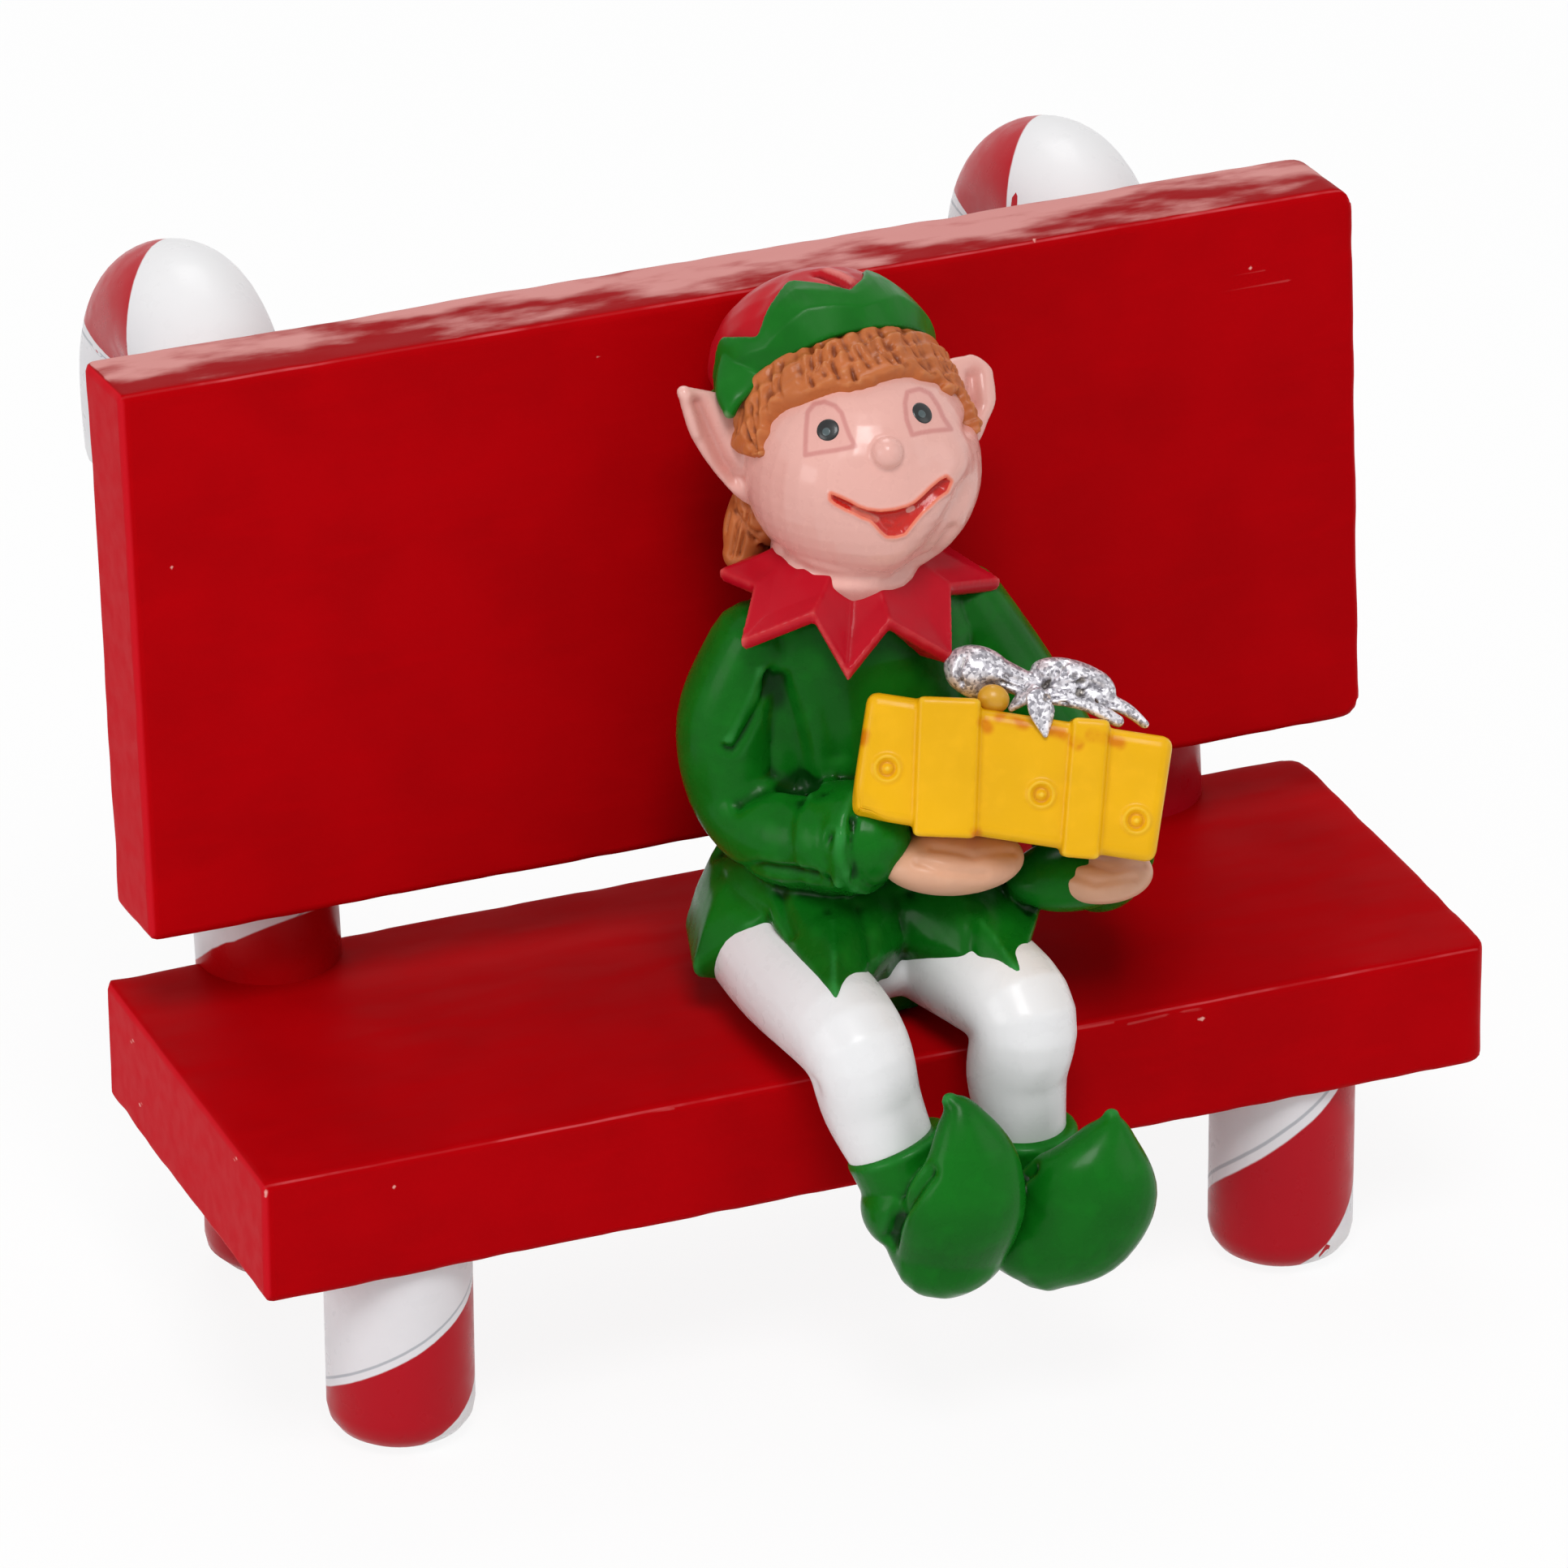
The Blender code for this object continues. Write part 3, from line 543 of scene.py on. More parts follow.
def paint(name, colour, pooled_and_shade, worn_and_highlight, roughness=0.32, coat=0.15, brush=(1, 1, 1), bump=0.05,
          hollow=(0.01, 0.06), ridge=(0.015, 0.06), specks=0.0, mottle=0.1, specular=0.35):
    """A brushed-on gloss paint, darker in hollows as pooled paint and painted shade, and paler on
    ridges as wear and a painted highlight.
    """
    material = bpy.data.materials.new(name)
    material.use_nodes = True
    tree = material.node_tree
    shader = tree.nodes["Principled BSDF"]
    cavity = attribute(tree, "hollow")
    streaks = texture(tree, 900, 5, brush)
    broad = texture(tree, 160, 2)
    darker = tuple(c * (1 - mottle) for c in colour)
    lighter = tuple(min(1.0, c * (1 + mottle)) for c in colour)
    tint = mix_colour(tree, remap(tree, broad, 0.3, 0.7), colour, darker)
    tint = mix_colour(tree, remap(tree, streaks, 0.45, 0.8, 0.0, 0.35), tint, lighter)
    # Darker in hollows: partly pooled paint, partly painted shade.
    tint = mix_colour(tree, remap(tree, cavity, hollow[0], hollow[1], 0.0, 0.85), tint, pooled_and_shade)
    height = product(tree, cavity, -1.0)
    # Paler on ridges: partly wear, partly a painted highlight.
    tint = mix_colour(tree, remap(tree, height, ridge[0], ridge[1], 0.0, 0.75), tint, worn_and_highlight)
    if specks:
        spots = texture(tree, 520, 2, kind="ShaderNodeTexVoronoi")
        chance = texture(tree, 240, 1)
        dot = remap(tree, spots, 0.05, 0.09, 1.0, 0.0)
        gate = remap(tree, chance, 0.60, 0.64, 0.0, specks)
        tint = mix_colour(tree, product(tree, dot, gate), tint, worn_and_highlight)
    tree.links.new(tint, shader.inputs["Base Color"])
    shine = remap(tree, streaks, 0.3, 0.75, roughness - 0.06, roughness + 0.08)
    tree.links.new(shine, shader.inputs["Roughness"])
    shader.inputs["Coat Weight"].default_value = coat
    shader.inputs["Coat Roughness"].default_value = 0.12
    shader.inputs["Specular IOR Level"].default_value = specular
    relief = node(tree, "ShaderNodeBump")
    relief.inputs["Strength"].default_value = bump
    relief.inputs["Distance"].default_value = 0.1 * MM
    tree.links.new(streaks, relief.inputs["Height"])
    tree.links.new(relief.outputs["Normal"], shader.inputs["Normal"])
    return material


# %% [markdown]
# The paints of the bench and the figure
#
# Each paint is named for where it goes. Its three colours are the coat itself, the deeper tone
# in hollows, which is pooled paint and painted shade, and the paler one on ridges, which is
# wear and a painted highlight, all as linear values. White and skin are even, while green and
# hair are much darker in their hollows, from a darker wash and from painted shade.

# %% The paints of the bench and the figure
RED = (0.42, 0.0004, 0.0025)
bench_red = paint("bench_red_paint", RED, (0.20, 0.0, 0.001), (0.60, 0.12, 0.12), 0.48, 0.0,
                  brush=(0.25, 1, 1), specks=0.5, specular=0.015)
GREEN = (0.004, 0.135, 0.007)
leaf_green = paint("green_paint", GREEN, (0.0006, 0.018, 0.0015), (0.03, 0.24, 0.045), 0.28, 0.02,
                   hollow=(0.006, 0.06), ridge=(0.02, 0.07), mottle=0.3, specular=0.09)
collar_red = paint("collar_red_paint", (0.46, 0.003, 0.014), (0.12, 0.0, 0.003), (0.62, 0.10, 0.09),
                   0.34, 0.04, specular=0.12)
cap_red = paint("cap_red_paint", (0.44, 0.005, 0.012), (0.16, 0.0, 0.004), (0.66, 0.2, 0.18),
                0.36, 0.03, specular=0.12)
tights_white = paint("white_paint", (0.78, 0.78, 0.79), (0.50, 0.51, 0.56), (0.8, 0.8, 0.8),
                     0.3, 0.1, mottle=0.015, hollow=(0.02, 0.08), bump=0.02, specular=0.2)
skin_pink = paint("skin_paint", (0.73, 0.395, 0.345), (0.50, 0.15, 0.12), (0.82, 0.55, 0.5), 0.28, 0.2,
                  mottle=0.015, hollow=(0.02, 0.09), ridge=(0.03, 0.1), bump=0.02, specular=0.25)
hand_tan = paint("hand_paint", (0.68, 0.37, 0.24), (0.42, 0.17, 0.09), (0.76, 0.48, 0.34), 0.4, 0.05,
                 hollow=(0.015, 0.08), specular=0.2)
hair_brown = paint("hair_paint", (0.50, 0.14, 0.038), (0.16, 0.028, 0.005), (0.58, 0.23, 0.085),
                   0.42, 0.05, hollow=(0.006, 0.05), ridge=(0.015, 0.07), mottle=0.2, specular=0.2)
gift_yellow = paint("yellow_paint", (0.80, 0.42, 0.003), (0.5, 0.15, 0.0), (0.86, 0.6, 0.06),
                    0.36, 0.05, specular=0.15)
print("paints:", len(bpy.data.materials))

# %% [markdown]
# The boards of the bench
#
# Each board is a cube with bevelled edges, and the corners of its right end are rounded off
# more, as on the real casting. A voxel remesh then gives it an even skin of small faces. Slow
# noise moves that skin by less than a tenth of a millimetre, and a faster noise nibbles at the
# edges. The back-board is made upright and then leaned back.

# %% Boards
def round_edges(piece, reach, segments):
    """Bevel the selected edges of a piece by a reach in millimetres."""
    bpy.ops.object.mode_set(mode="EDIT")
    bpy.ops.mesh.bevel(offset=reach * MM, segments=segments)
    bpy.ops.object.mode_set(mode="OBJECT")


def board(name, size, soft_axis, soft=1.3, bevel=0.3):
    """A slab with one corner at the drawing's origin. Its right edges along an axis are softer."""
    bpy.ops.object.select_all(action="DESELECT")
    bpy.ops.mesh.primitive_cube_add(size=1)
    piece = bpy.context.object
    piece.name = name
    in_metres = Matrix.Diagonal(Vector((*size, 1 / MM)) * MM)
    piece.data.transform(in_metres @ Matrix.Translation((0.5, 0.5, 0.5)))
    bpy.ops.object.mode_set(mode="EDIT")
    bpy.ops.mesh.select_mode(type="EDGE")
    bpy.ops.mesh.select_all(action="DESELECT")
    bpy.ops.object.mode_set(mode="OBJECT")
    for edge in piece.data.edges:
        a, b = (piece.data.vertices[v].co for v in edge.vertices)
        edge.select = min(a.x, b.x) > 0 and abs(a[soft_axis] - b[soft_axis]) > MM
    round_edges(piece, soft, 5)
    bpy.ops.object.mode_set(mode="EDIT")
    bpy.ops.mesh.select_all(action="DESELECT")
    bpy.ops.mesh.edges_select_sharp(sharpness=math.radians(40))
    bpy.ops.object.mode_set(mode="OBJECT")
    round_edges(piece, bevel, 3)
    use_modifier(piece, "REMESH", mode="VOXEL", voxel_size=0.27 * MM)
    print(name, "has", len(piece.data.polygons), "faces")
    return piece


# %% [markdown]
# Wear and painted light on the boards
#
# While a board still lies square at the origin, each vertex keeps what the paint wants to know:
# how far it is from the front top edge, whether it lies on an end or on top, and how much the
# top is rubbed through and painted with a sheen there. Only the back-board gets this on top, so
# the seat's value is set back to nothing at the end. Its skin is roughened in the same go.

# %% Wear and painted light
def weather(piece, size, wave=0.07, nibble=0.10):
    """Move the skin of a slab by noise, most of all along its edges, and mark its front top edge, ends
    and top for wear and painted light.
    """
    co, normal = mesh_arrays(piece)
    box = np.array(size) * MM
    store(piece, "hollow", np.zeros(len(co)))
    below, behind = (box[2] - co[:, 2]) / MM, co[:, 1] / MM
    # The distance to the front top edge, where the paint gets a painted highlight.
    store(piece, "lip", below - behind)
    store(piece, "lip_reach", below + behind)
    # Ends of the board, which the paint makes brighter as painted light.
    store(piece, "board_end", step(np.abs(normal[:, 0]), 0.5, 0.8))
    # The top, more towards the rear: rubbed-through paint and a painted sheen.
    pale = 0.10 * np.exp(-((co[:, 0] / MM - 42) / 14) ** 2)
    store(piece, "board_top", step(normal[:, 2], 0.6, 0.85) * (0.24 + 0.34 * behind / size[1] + pale))
    near = np.sort(np.minimum(np.abs(co), np.abs(box - co)), axis=1)[:, 1] / MM
    edge = np.exp(-(near / 0.9) ** 2)
    for i, point in enumerate(co):
        slow = noise.noise(Vector(point) * 90)
        fast = noise.noise(Vector(point) * 420 + Vector((7, 3, 1)))
        co[i] += normal[i] * (slow * wave + min(fast, 0.1) * nibble * edge[i]) * MM
    move_vertices(piece, co)


SEAT_SIZE = (BENCH_LENGTH, SEAT_DEPTH, SEAT_THICKNESS)
BOARD_SIZE = (BENCH_LENGTH, BOARD_THICKNESS, BOARD_HEIGHT)
seat = board("seat_board", SEAT_SIZE, 2)
weather(seat, SEAT_SIZE)
seat.data.transform(Matrix.Translation(at(-BENCH_LENGTH / 2, 0, -SEAT_THICKNESS)))
back = board("back_board", BOARD_SIZE, 1)
weather(back, BOARD_SIZE)
back.data.transform(Matrix.Translation(at(-BENCH_LENGTH / 2, BOARD_FOOT, BOARD_LIFT))
                    @ Matrix.Rotation(-BOARD_LEAN, 4, "X"))
seat.data.attributes["board_top"].data.foreach_set("value", np.zeros(len(seat.data.vertices)))
print("the seat is", SEAT_SIZE, "mm and the back-board", BOARD_SIZE, "mm")

# %% [markdown]
# Chips and scratches
#
# A few chips and fine scratches are put where the photo shows them. Each vertex keeps how far it
# is from them, in millimetres, and the paint turns a small distance into bare pinkish resin.

# %% Chips and scratches
CHIPS = {"seat_board": [[(329, 1467), (327, 1473)], [(364, 1197)], [(486, 1463)], [(163, 1283)],
                        [(173, 1361)], [(290, 1428)], [(284, 1182)], [(1478, 1255), (1483, 1256)]],
         "back_board": [[(738, 440)], [(1275, 296)], [(1540, 330)], [(212, 700)]]}
SCRATCHES = {"seat_board": [[(1325, 1268), (1372, 1260)], [(1390, 1262), (1440, 1250)],
                            [(1455, 1247), (1480, 1243)], [(780, 1372), (830, 1366)]],
             "back_board": [[(1440, 350), (1560, 332)], [(1480, 362), (1590, 345)]]}
for piece in (seat, back):
    for key, lists in (("chips", CHIPS), ("scratches", SCRATCHES)):
        lines = [outside(piece, line, closed=False) for line in lists[piece.name]]
        store(piece, key, np.minimum.reduce(lines))
    finished(piece, bench_red, "bench")
    print(piece.name, "has", len(CHIPS[piece.name]), "chips")

# %% [markdown]
# The wear and the painted light in the red paint
#
# The red paint gets layers, one over another: a brighter red on the boards' ends, which is
# painted light, a dull red on top with pale patches, which are partly rubbed-through paint and
# partly a painted sheen, a broken pale line along the front top edge, which is a painted
# highlight, and then the chips and scratches. Each layer is a colour, mixed in by a stored value
# or a noise, so that it sits on the board and looks the same from every side.

# %% Layers of wear and painted light
# The brighter end red is painted light, the pale top pink partly a painted sheen, the edge red a
# painted highlight.
LIT_END_RED = (0.56, 0.008, 0.016)
DULL_RED = (0.27, 0.010, 0.012)
RUBBED_PINK_AND_SHEEN = (0.66, 0.30, 0.28)
EDGE_HIGHLIGHT_RED = (0.60, 0.08, 0.09)
BARE_RESIN = (0.80, 0.36, 0.32)
SCRATCH_RED = (0.60, 0.10, 0.10)

tree, shader, tint = top_coat(bench_red)
patches = texture(tree, 420, 5, (0.4, 1, 1))
# Brighter red on the ends: painted light.
painted_end_light = remap(tree, attribute(tree, "board_end"), 0.2, 0.8, 0.0, 0.9)
on_top = remap(tree, attribute(tree, "board_top"), 0.1, 0.3, 0.0, 0.75)
# Pale patches on top: partly rubbed-through paint, partly a painted sheen.
worn_and_sheen_top = arithmetic(tree, "ADD", patches, attribute(tree, "board_top"))
# A broken pale line along the front top edge: a painted highlight.
line = remap(tree, arithmetic(tree, "ABSOLUTE", attribute(tree, "lip")), 0.04, 0.13, 1.0, 0.0)
close = remap(tree, attribute(tree, "lip_reach"), 0.4, 0.6, 1.0, 0.0)
broken_highlight = remap(tree, texture(tree, 200, 4), 0.42, 0.62, 0.12, 0.75)
layers = [(painted_end_light, LIT_END_RED),
          (on_top, DULL_RED),
          (remap(tree, worn_and_sheen_top, 0.81, 1.08, 0.0, 0.9), RUBBED_PINK_AND_SHEEN),
          (product(tree, product(tree, line, close), broken_highlight), EDGE_HIGHLIGHT_RED),
          (remap(tree, attribute(tree, "chips"), 0.07, 0.16, 0.9, 0.0), BARE_RESIN),
          (remap(tree, attribute(tree, "scratches"), 0.02, 0.10, 0.35, 0.0), SCRATCH_RED)]
for share, colour in layers:
    tint = mix_colour(tree, share, tint, colour)
tree.links.new(tint, shader.inputs["Base Color"])
print("the red paint has", len(layers), "layers of wear")

# %% [markdown]
# The candy canes
#
# The two front legs are short canes. The rear legs rise behind the board, lean with it and
# bend over to the back like a walking stick. Each is a loft of round rings along a drawn line.
# Its red band winds round it once in 13 to 20 mm, so every vertex stores where it is in that
# turn, and the paint reads it. The turn is kept as a cosine and a sine, which never jump.

# %% Canes
HOOK_START = 46.0
CANE_MIDDLE = -0.6
POST_REACH = 25.25
LEG_REACH = 25.5
FOOT_Z = -SEAT_THICKNESS - LEG_HEIGHT + 1.6


def cane(name, points, pitch, start, late=0.0):
    """A cane along drawn points, with its band's pitch, turn at the foot and loss on the hook."""
    sides = 48
    loops = tube_loops([(*p, CANE_RADIUS) for p in points], sides, 8, (1, 0, 0), 0.405)
    piece = loft(name, loops)
    middles = np.array(loops).mean(axis=1)
    run = np.concatenate([[0], np.cumsum(np.linalg.norm(np.diff(middles, axis=0), axis=1))])
    table = {tuple(np.rint((p * MM + np.array(ORIGIN)) * 1e7).astype(int)): (r, s)
             for r, loop in enumerate(loops) for s, p in enumerate(loop)}
    turn = np.zeros(len(piece.data.vertices))
    for i, v in enumerate(piece.data.vertices):
        r, s = table.get(tuple(np.rint(np.array(v.co) * 1e7).astype(int)), (0, 0))
        turn[i] = s / sides - 0.5 + run[r] / pitch + start
        turn[i] -= late * max(0.0, run[r] - HOOK_START) / HOOK_RADIUS
    store(piece, "band_cos", np.cos(2 * np.pi * turn))
    store(piece, "band_sin", np.sin(2 * np.pi * turn))
    return piece


def cane_line(side, straight):
    """The middle of a rear cane: straight leg, leaning post, and a hook bent to the back."""
    x = CANE_MIDDLE + side * POST_REACH
    foot_y = BOARD_FOOT + BOARD_THICKNESS + CANE_RADIUS - 1.0 - BOARD_LIFT * math.tan(CANE_LEAN)
    lean = np.array((0, math.sin(CANE_LEAN), math.cos(CANE_LEAN)))
    rear = np.array((0, math.cos(CANE_LEAN), -math.sin(CANE_LEAN)))
    foot = np.array((x, foot_y, 0))
    line = [(x, foot_y, z) for z in (FOOT_Z, -13.0, -7.1, -3.0)]
    line += [foot + lean * straight * s for s in (0.06, 0.35, 0.65, 0.9, 1.0)]
    middle = foot + lean * straight + rear * HOOK_RADIUS
    for angle in np.radians((22.5, 45, 67.5, 90, 112.5, 135, 157.5, 180)):
        round_back = lean * math.sin(angle) - rear * math.cos(angle)
        line.append(middle + round_back * HOOK_RADIUS)
    line.append(line[-1] - lean * HOOK_TAIL)
    return line


def leg_line(side):
    """The middle of a front leg, from its foot up into the seat."""
    x = CANE_MIDDLE + side * LEG_REACH
    return [(x, LEG_SETBACK, z) for z in (FOOT_Z, -14.0, -10.0, -5.0)]


canes = [cane("rear_cane_left", cane_line(-1, 28.4), 13.6, -0.30, 0.055),
         cane("rear_cane_right", cane_line(1, 27.2), 12.8, -0.437, 0.075),
         cane("front_leg_left", leg_line(-1), 13.5, -0.26),
         cane("front_leg_right", leg_line(1), 20.0, -0.26)]
print("canes:", [c.name for c in canes])

# %% [markdown]
# The paint of the canes
#
# The ground is white. The arctangent joins the stored cosine and sine back into an angle, and
# the paint is red where that angle is near zero, with a little noise so that the edge wavers
# as a brush does. A fine grey line beside the band is painted shade, standing for the shade
# in the groove that guides the brush. Round the foot of the left post the red of the seat has
# run up over the white.

# %% Red bands, painted groove shade and the dipped foot
BAND_SHARE = 0.43
GROOVE_AWAY = 0.27
# The grey of the painted groove shade.
GROOVE_SHADE_GREY = (0.30, 0.32, 0.36)
BAND_RED = (0.42, 0.002, 0.010)
DIPPED = [(200, 1215), (228, 1189), (241, 1182), (254, 1177), (262, 1167), (270, 1165), (279, 1161),
          (290, 1160), (301, 1154), (321, 1146), (336, 1140), (380, 1124), (450, 1096), (450, 1260),
          (200, 1260)]
cane_paint = paint("cane_paint", (0.72, 0.70, 0.73), (0.45, 0.45, 0.5), (0.8, 0.8, 0.8), 0.32, 0.05,
                   mottle=0.03, hollow=(0.02, 0.08), specular=0.12)
tree, shader, tint = top_coat(cane_paint)
wind = arithmetic(tree, "ARCTAN2", attribute(tree, "band_sin"), attribute(tree, "band_cos"))
wobble = product(tree, texture(tree, 350, 3), 0.06)
wind = arithmetic(tree, "ADD", wind, wobble)
half = math.pi * BAND_SHARE
band = remap(tree, arithmetic(tree, "ABSOLUTE", wind), half, half + 0.05, 1.0, 0.0)
from_groove = arithmetic(tree, "ABSOLUTE", arithmetic(tree, "SUBTRACT", wind, half + GROOVE_AWAY))
# A fine grey line beside the band: painted shade of the groove.
groove_shade = remap(tree, from_groove, 0.02, 0.06, 1.0, 0.0)
dip = remap(tree, attribute(tree, "dipped"), -0.05, 0.05, 1.0, 0.0)
for share, colour in ((product(tree, groove_shade, 0.7), GROOVE_SHADE_GREY), (band, BAND_RED), (dip, RED)):
    tint = mix_colour(tree, share, tint, colour)
tree.links.new(tint, shader.inputs["Base Color"])
for piece in canes:
    store(piece, "dipped", outside(piece, DIPPED))
    mark_hollows(piece, 2)
    finished(piece, cane_paint, "bench")

# %% [markdown]
# The white tights
#
# Each leg is a tube that lies on the seat, bends over its front edge and hangs down to the
# shoe. Both are cast in one with the lap, which the tunic covers. A station of a tube is its
# place and its radius. One crease behind the left knee is pressed in.

# %% Tights
THIGH = 3.25
SHIN = 2.75
KNEE_Y = -(SHIN + GLUE_GAP)
LEFT_LEG = [(-3.6, 9.5, 3.9, THIGH), (-3.7, 4.5, 3.8, THIGH), (-3.4, KNEE_Y, 3.5, SHIN * 1.05),
            (-2.7, KNEE_Y - 1.2, 0.1, SHIN * 0.96), (-1.5, KNEE_Y - 2.4, -3.4, SHIN * 0.80),
            (-1.2, KNEE_Y - 2.6, -4.4, SHIN * 0.78)]
RIGHT_LEG = [(3.4, 9.5, 3.9, THIGH), (4.8, 4.5, 3.8, THIGH), (6.1, KNEE_Y, 3.5, SHIN * 1.05),
             (5.9, KNEE_Y - 0.2, -0.3, SHIN * 0.97), (6.2, KNEE_Y - 0.5, -3.9, SHIN * 0.82),
             (6.2, KNEE_Y - 0.5, -5.0, SHIN * 0.80)]
KNEE_CREASE = [(976, 1326), (990, 1334), (1004, 1338)]
tights_forms = [tube("left_leg", LEFT_LEG, facing=(0, -1, 0.4)),
                tube("right_leg", RIGHT_LEG, facing=(0, -1, 0.4)),
                egg("lap", (1.4, 7.6, 3.6), (6.4, 5.2, 2.8))]
tights = cast("tights", tights_forms, 0.2, 4)
press(tights, seen(tights, KNEE_CREASE), 0.5, 0.25)
mark_hollows(tights)
finished(tights, tights_white, "elf")

# %% [markdown]
# The shoes
#
# A pointed shoe has a cuff round the ankle, a ball that bulges out, and a toe that curls up to
# a tip. The left one also shows its round heel. The parts are tubes with oval sections, cast
# together, and the crease between cuff and toe is pressed in afterwards. A station is a place,
# its half width as a share of the shoe's, and how deep the section is for its width.

# %% Shoes
SHOE = 3.8
SHOE_Y = KNEE_Y + 3.05
LEFT_FOOT = [((-0.7, -4.6, -5.2), 0.60, 0.8), ((-0.3, -6.8, -6.5), 0.76, 0.8),
             ((0.0, -8.6, -7.2), 0.84, 0.75)]
LEFT_TOE = [((-0.2, -8.6, -7.3), 0.78, 0.72), ((0.2, -9.6, -4.2), 0.88, 0.66),
            ((0.5, -9.7, -1.4), 0.70, 0.60), ((0.2, -9.0, 1.0), 0.32, 0.8),
            ((-0.2, -8.7, 1.8), 0.12, 1.0)]
LEFT_CREASE = [(1096, 1528), (1106, 1505), (1122, 1474), (1144, 1446)]
LEFT_HEEL = ((-1.8, -6.4, -5.0), (2.3, 2.5, 2.3))
RIGHT_FOOT = [((6.4, -4.6, -6.2), 0.62, 0.8), ((5.7, -6.2, -7.6), 0.78, 0.8),
              ((5.3, -7.6, -8.2), 0.82, 0.75)]
RIGHT_TOE = [((5.2, -7.6, -8.2), 0.78, 0.75), ((6.9, -8.6, -6.5), 0.98, 0.66),
             ((8.1, -9.0, -4.2), 0.90, 0.62), ((8.9, -8.6, -2.0), 0.38, 0.8),
             ((9.1, -8.4, -1.2), 0.12, 1.0)]
RIGHT_CREASE = [(1240, 1490), (1252, 1462), (1270, 1440)]
CUFF_RINGS = ((2.6, 0.95), (-0.1, 1.02), (-0.5, 1.04))


def shoe(name, ankle, lean, foot, toe, crease, heel=None):
    """A shoe from its ankle's place and lean, its foot, toe and crease, and perhaps a heel."""
    forms = [egg(f"{name}_heel", *heel)] if heel else []
    for part, line in (("foot", foot), ("toe", toe)):
        stations = [(x, y + SHOE_Y, z + GLUE_GAP, SHOE * wide, SHOE * wide * deep)
                    for (x, y, z), wide, deep in line]
        forms.append(tube(f"{name}_{part}", stations, facing=(0, -1, 0.5)))
    x, y, z = ankle
    cuff = [(x + lean * d, y - lean * d, z - d, SHIN * wide) for d, wide in CUFF_RINGS]
    forms.append(tube(f"{name}_cuff", cuff, facing=(0, -1, 0), dome=0.15))
    piece = cast(name, forms, 0.16, 3)
    press(piece, seen(piece, crease), 0.45, 0.5)
    mark_hollows(piece)
    return finished(piece, leaf_green, "elf")


shoe("left_shoe", (-1.5, KNEE_Y - 2.3, -2.6), 0.33, LEFT_FOOT, LEFT_TOE, LEFT_CREASE, LEFT_HEEL)
shoe("right_shoe", (6.2, KNEE_Y - 0.6, -4.0), 0.0, RIGHT_FOOT, RIGHT_TOE, RIGHT_CREASE)

# %% [markdown]
# The tunic
#
# The tunic is a loft: a few rings from the seat up to the neck, with a hem of drawn points that
# go up and down like a leaf's edge. A body ring is its height, half width and half depth.

# %% Tunic
WAIST = (2.0, 9.6)
HEM = [(-4.4, -3.3, 6.2), (1.7, 2.0, 6.0), (5.7, -4.1, 5.9), (9.3, 1.6, 6.5), (11.2, 8.0, 2.8),
       (9.8, 11.4, 4.0), (7.6, 15.2, 1.6), (2.1, 15.9, 3.2), (-3.4, 15.2, 1.6), (-6.6, 12.4, 3.6),
       (-7.9, 8.0, 3.3), (-5.0, 4.9, 7.4)]
BODY_RINGS = [(9.0, 7.1, 5.2), (13.0, 6.5, 4.9), (17.0, 6.7, 4.9), (20.5, 6.9, 4.5), (22.6, 5.6, 3.9),
              (24.4, 3.4, 3.0)]


def between(points, count):
    """The same closed outline with more points on each straight stretch."""
    rich = []
    for a, b in zip(points, points[1:] + points[:1]):
        rich += [tuple(p + (q - p) * i / count for p, q in zip(a, b)) for i in range(count)]
    return rich


def skirt_loops():
    """The tunic's rings: the seat, the thick edge of the hem, the skirt, and the body."""
    hem = between(HEM, 4)
    across, deep_in = WAIST
    turns = [math.atan2(y - deep_in, x - across) for x, y, z in hem]

    def ring(height, wide, deep):
        return [(across + wide * math.cos(a), deep_in + deep * math.sin(a), height + GLUE_GAP)
                for a in turns]

    loops = [ring(0.0, 6.0, 5.0), ring(1.5, 6.6, 5.6)]
    for share, drop in ((0.97, 0.9), (1.0, 0.45), (1.0, 0.0)):
        loops.append([(across + (x - across) * share, deep_in + (y - deep_in) * share,
                       z + GLUE_GAP - drop) for x, y, z in hem])
    first = ring(*BODY_RINGS[0])
    for share in (0.35, 0.7):
        loops.append([(hx + (fx - hx) * share ** 1.3, hy + (fy - hy) * share ** 1.3,
                       z + GLUE_GAP + (fz - z) * share)
                      for (hx, hy, z), (fx, fy, fz) in zip(hem, first)])
    return loops + [ring(*level) for level in BODY_RINGS]


torso = loft("torso", skirt_loops())
print("the hem has", len(HEM), "drawn points")

# %% [markdown]
# The sleeves
#
# A sleeve is a tube from the shoulder over the elbow to the wrist, with a short wider tube for
# its cuff. The right cuff also has a turn-up that hangs below the hand. The torso and both
# sleeves are cast in one.

# %% Sleeves
ARM = 2.8
LEFT_ARM = [((-3.6, 9.4, 20.4), 0.95), ((-5.1, 9.6, 16.4), 1.0), ((-4.7, 9.0, 12.3), 0.95),
            ((-3.2, 5.6, 11.2), 1.0), ((-0.5, 2.2, 12.0), 0.9)]
RIGHT_ARM = [((8.0, 9.6, 20.4), 0.95), ((10.0, 8.8, 16.6), 1.03), ((12.4, 7.2, 11.6), 1.05),
             ((13.2, 5.0, 8.8), 1.0), ((13.1, 2.6, 7.6), 0.9)]


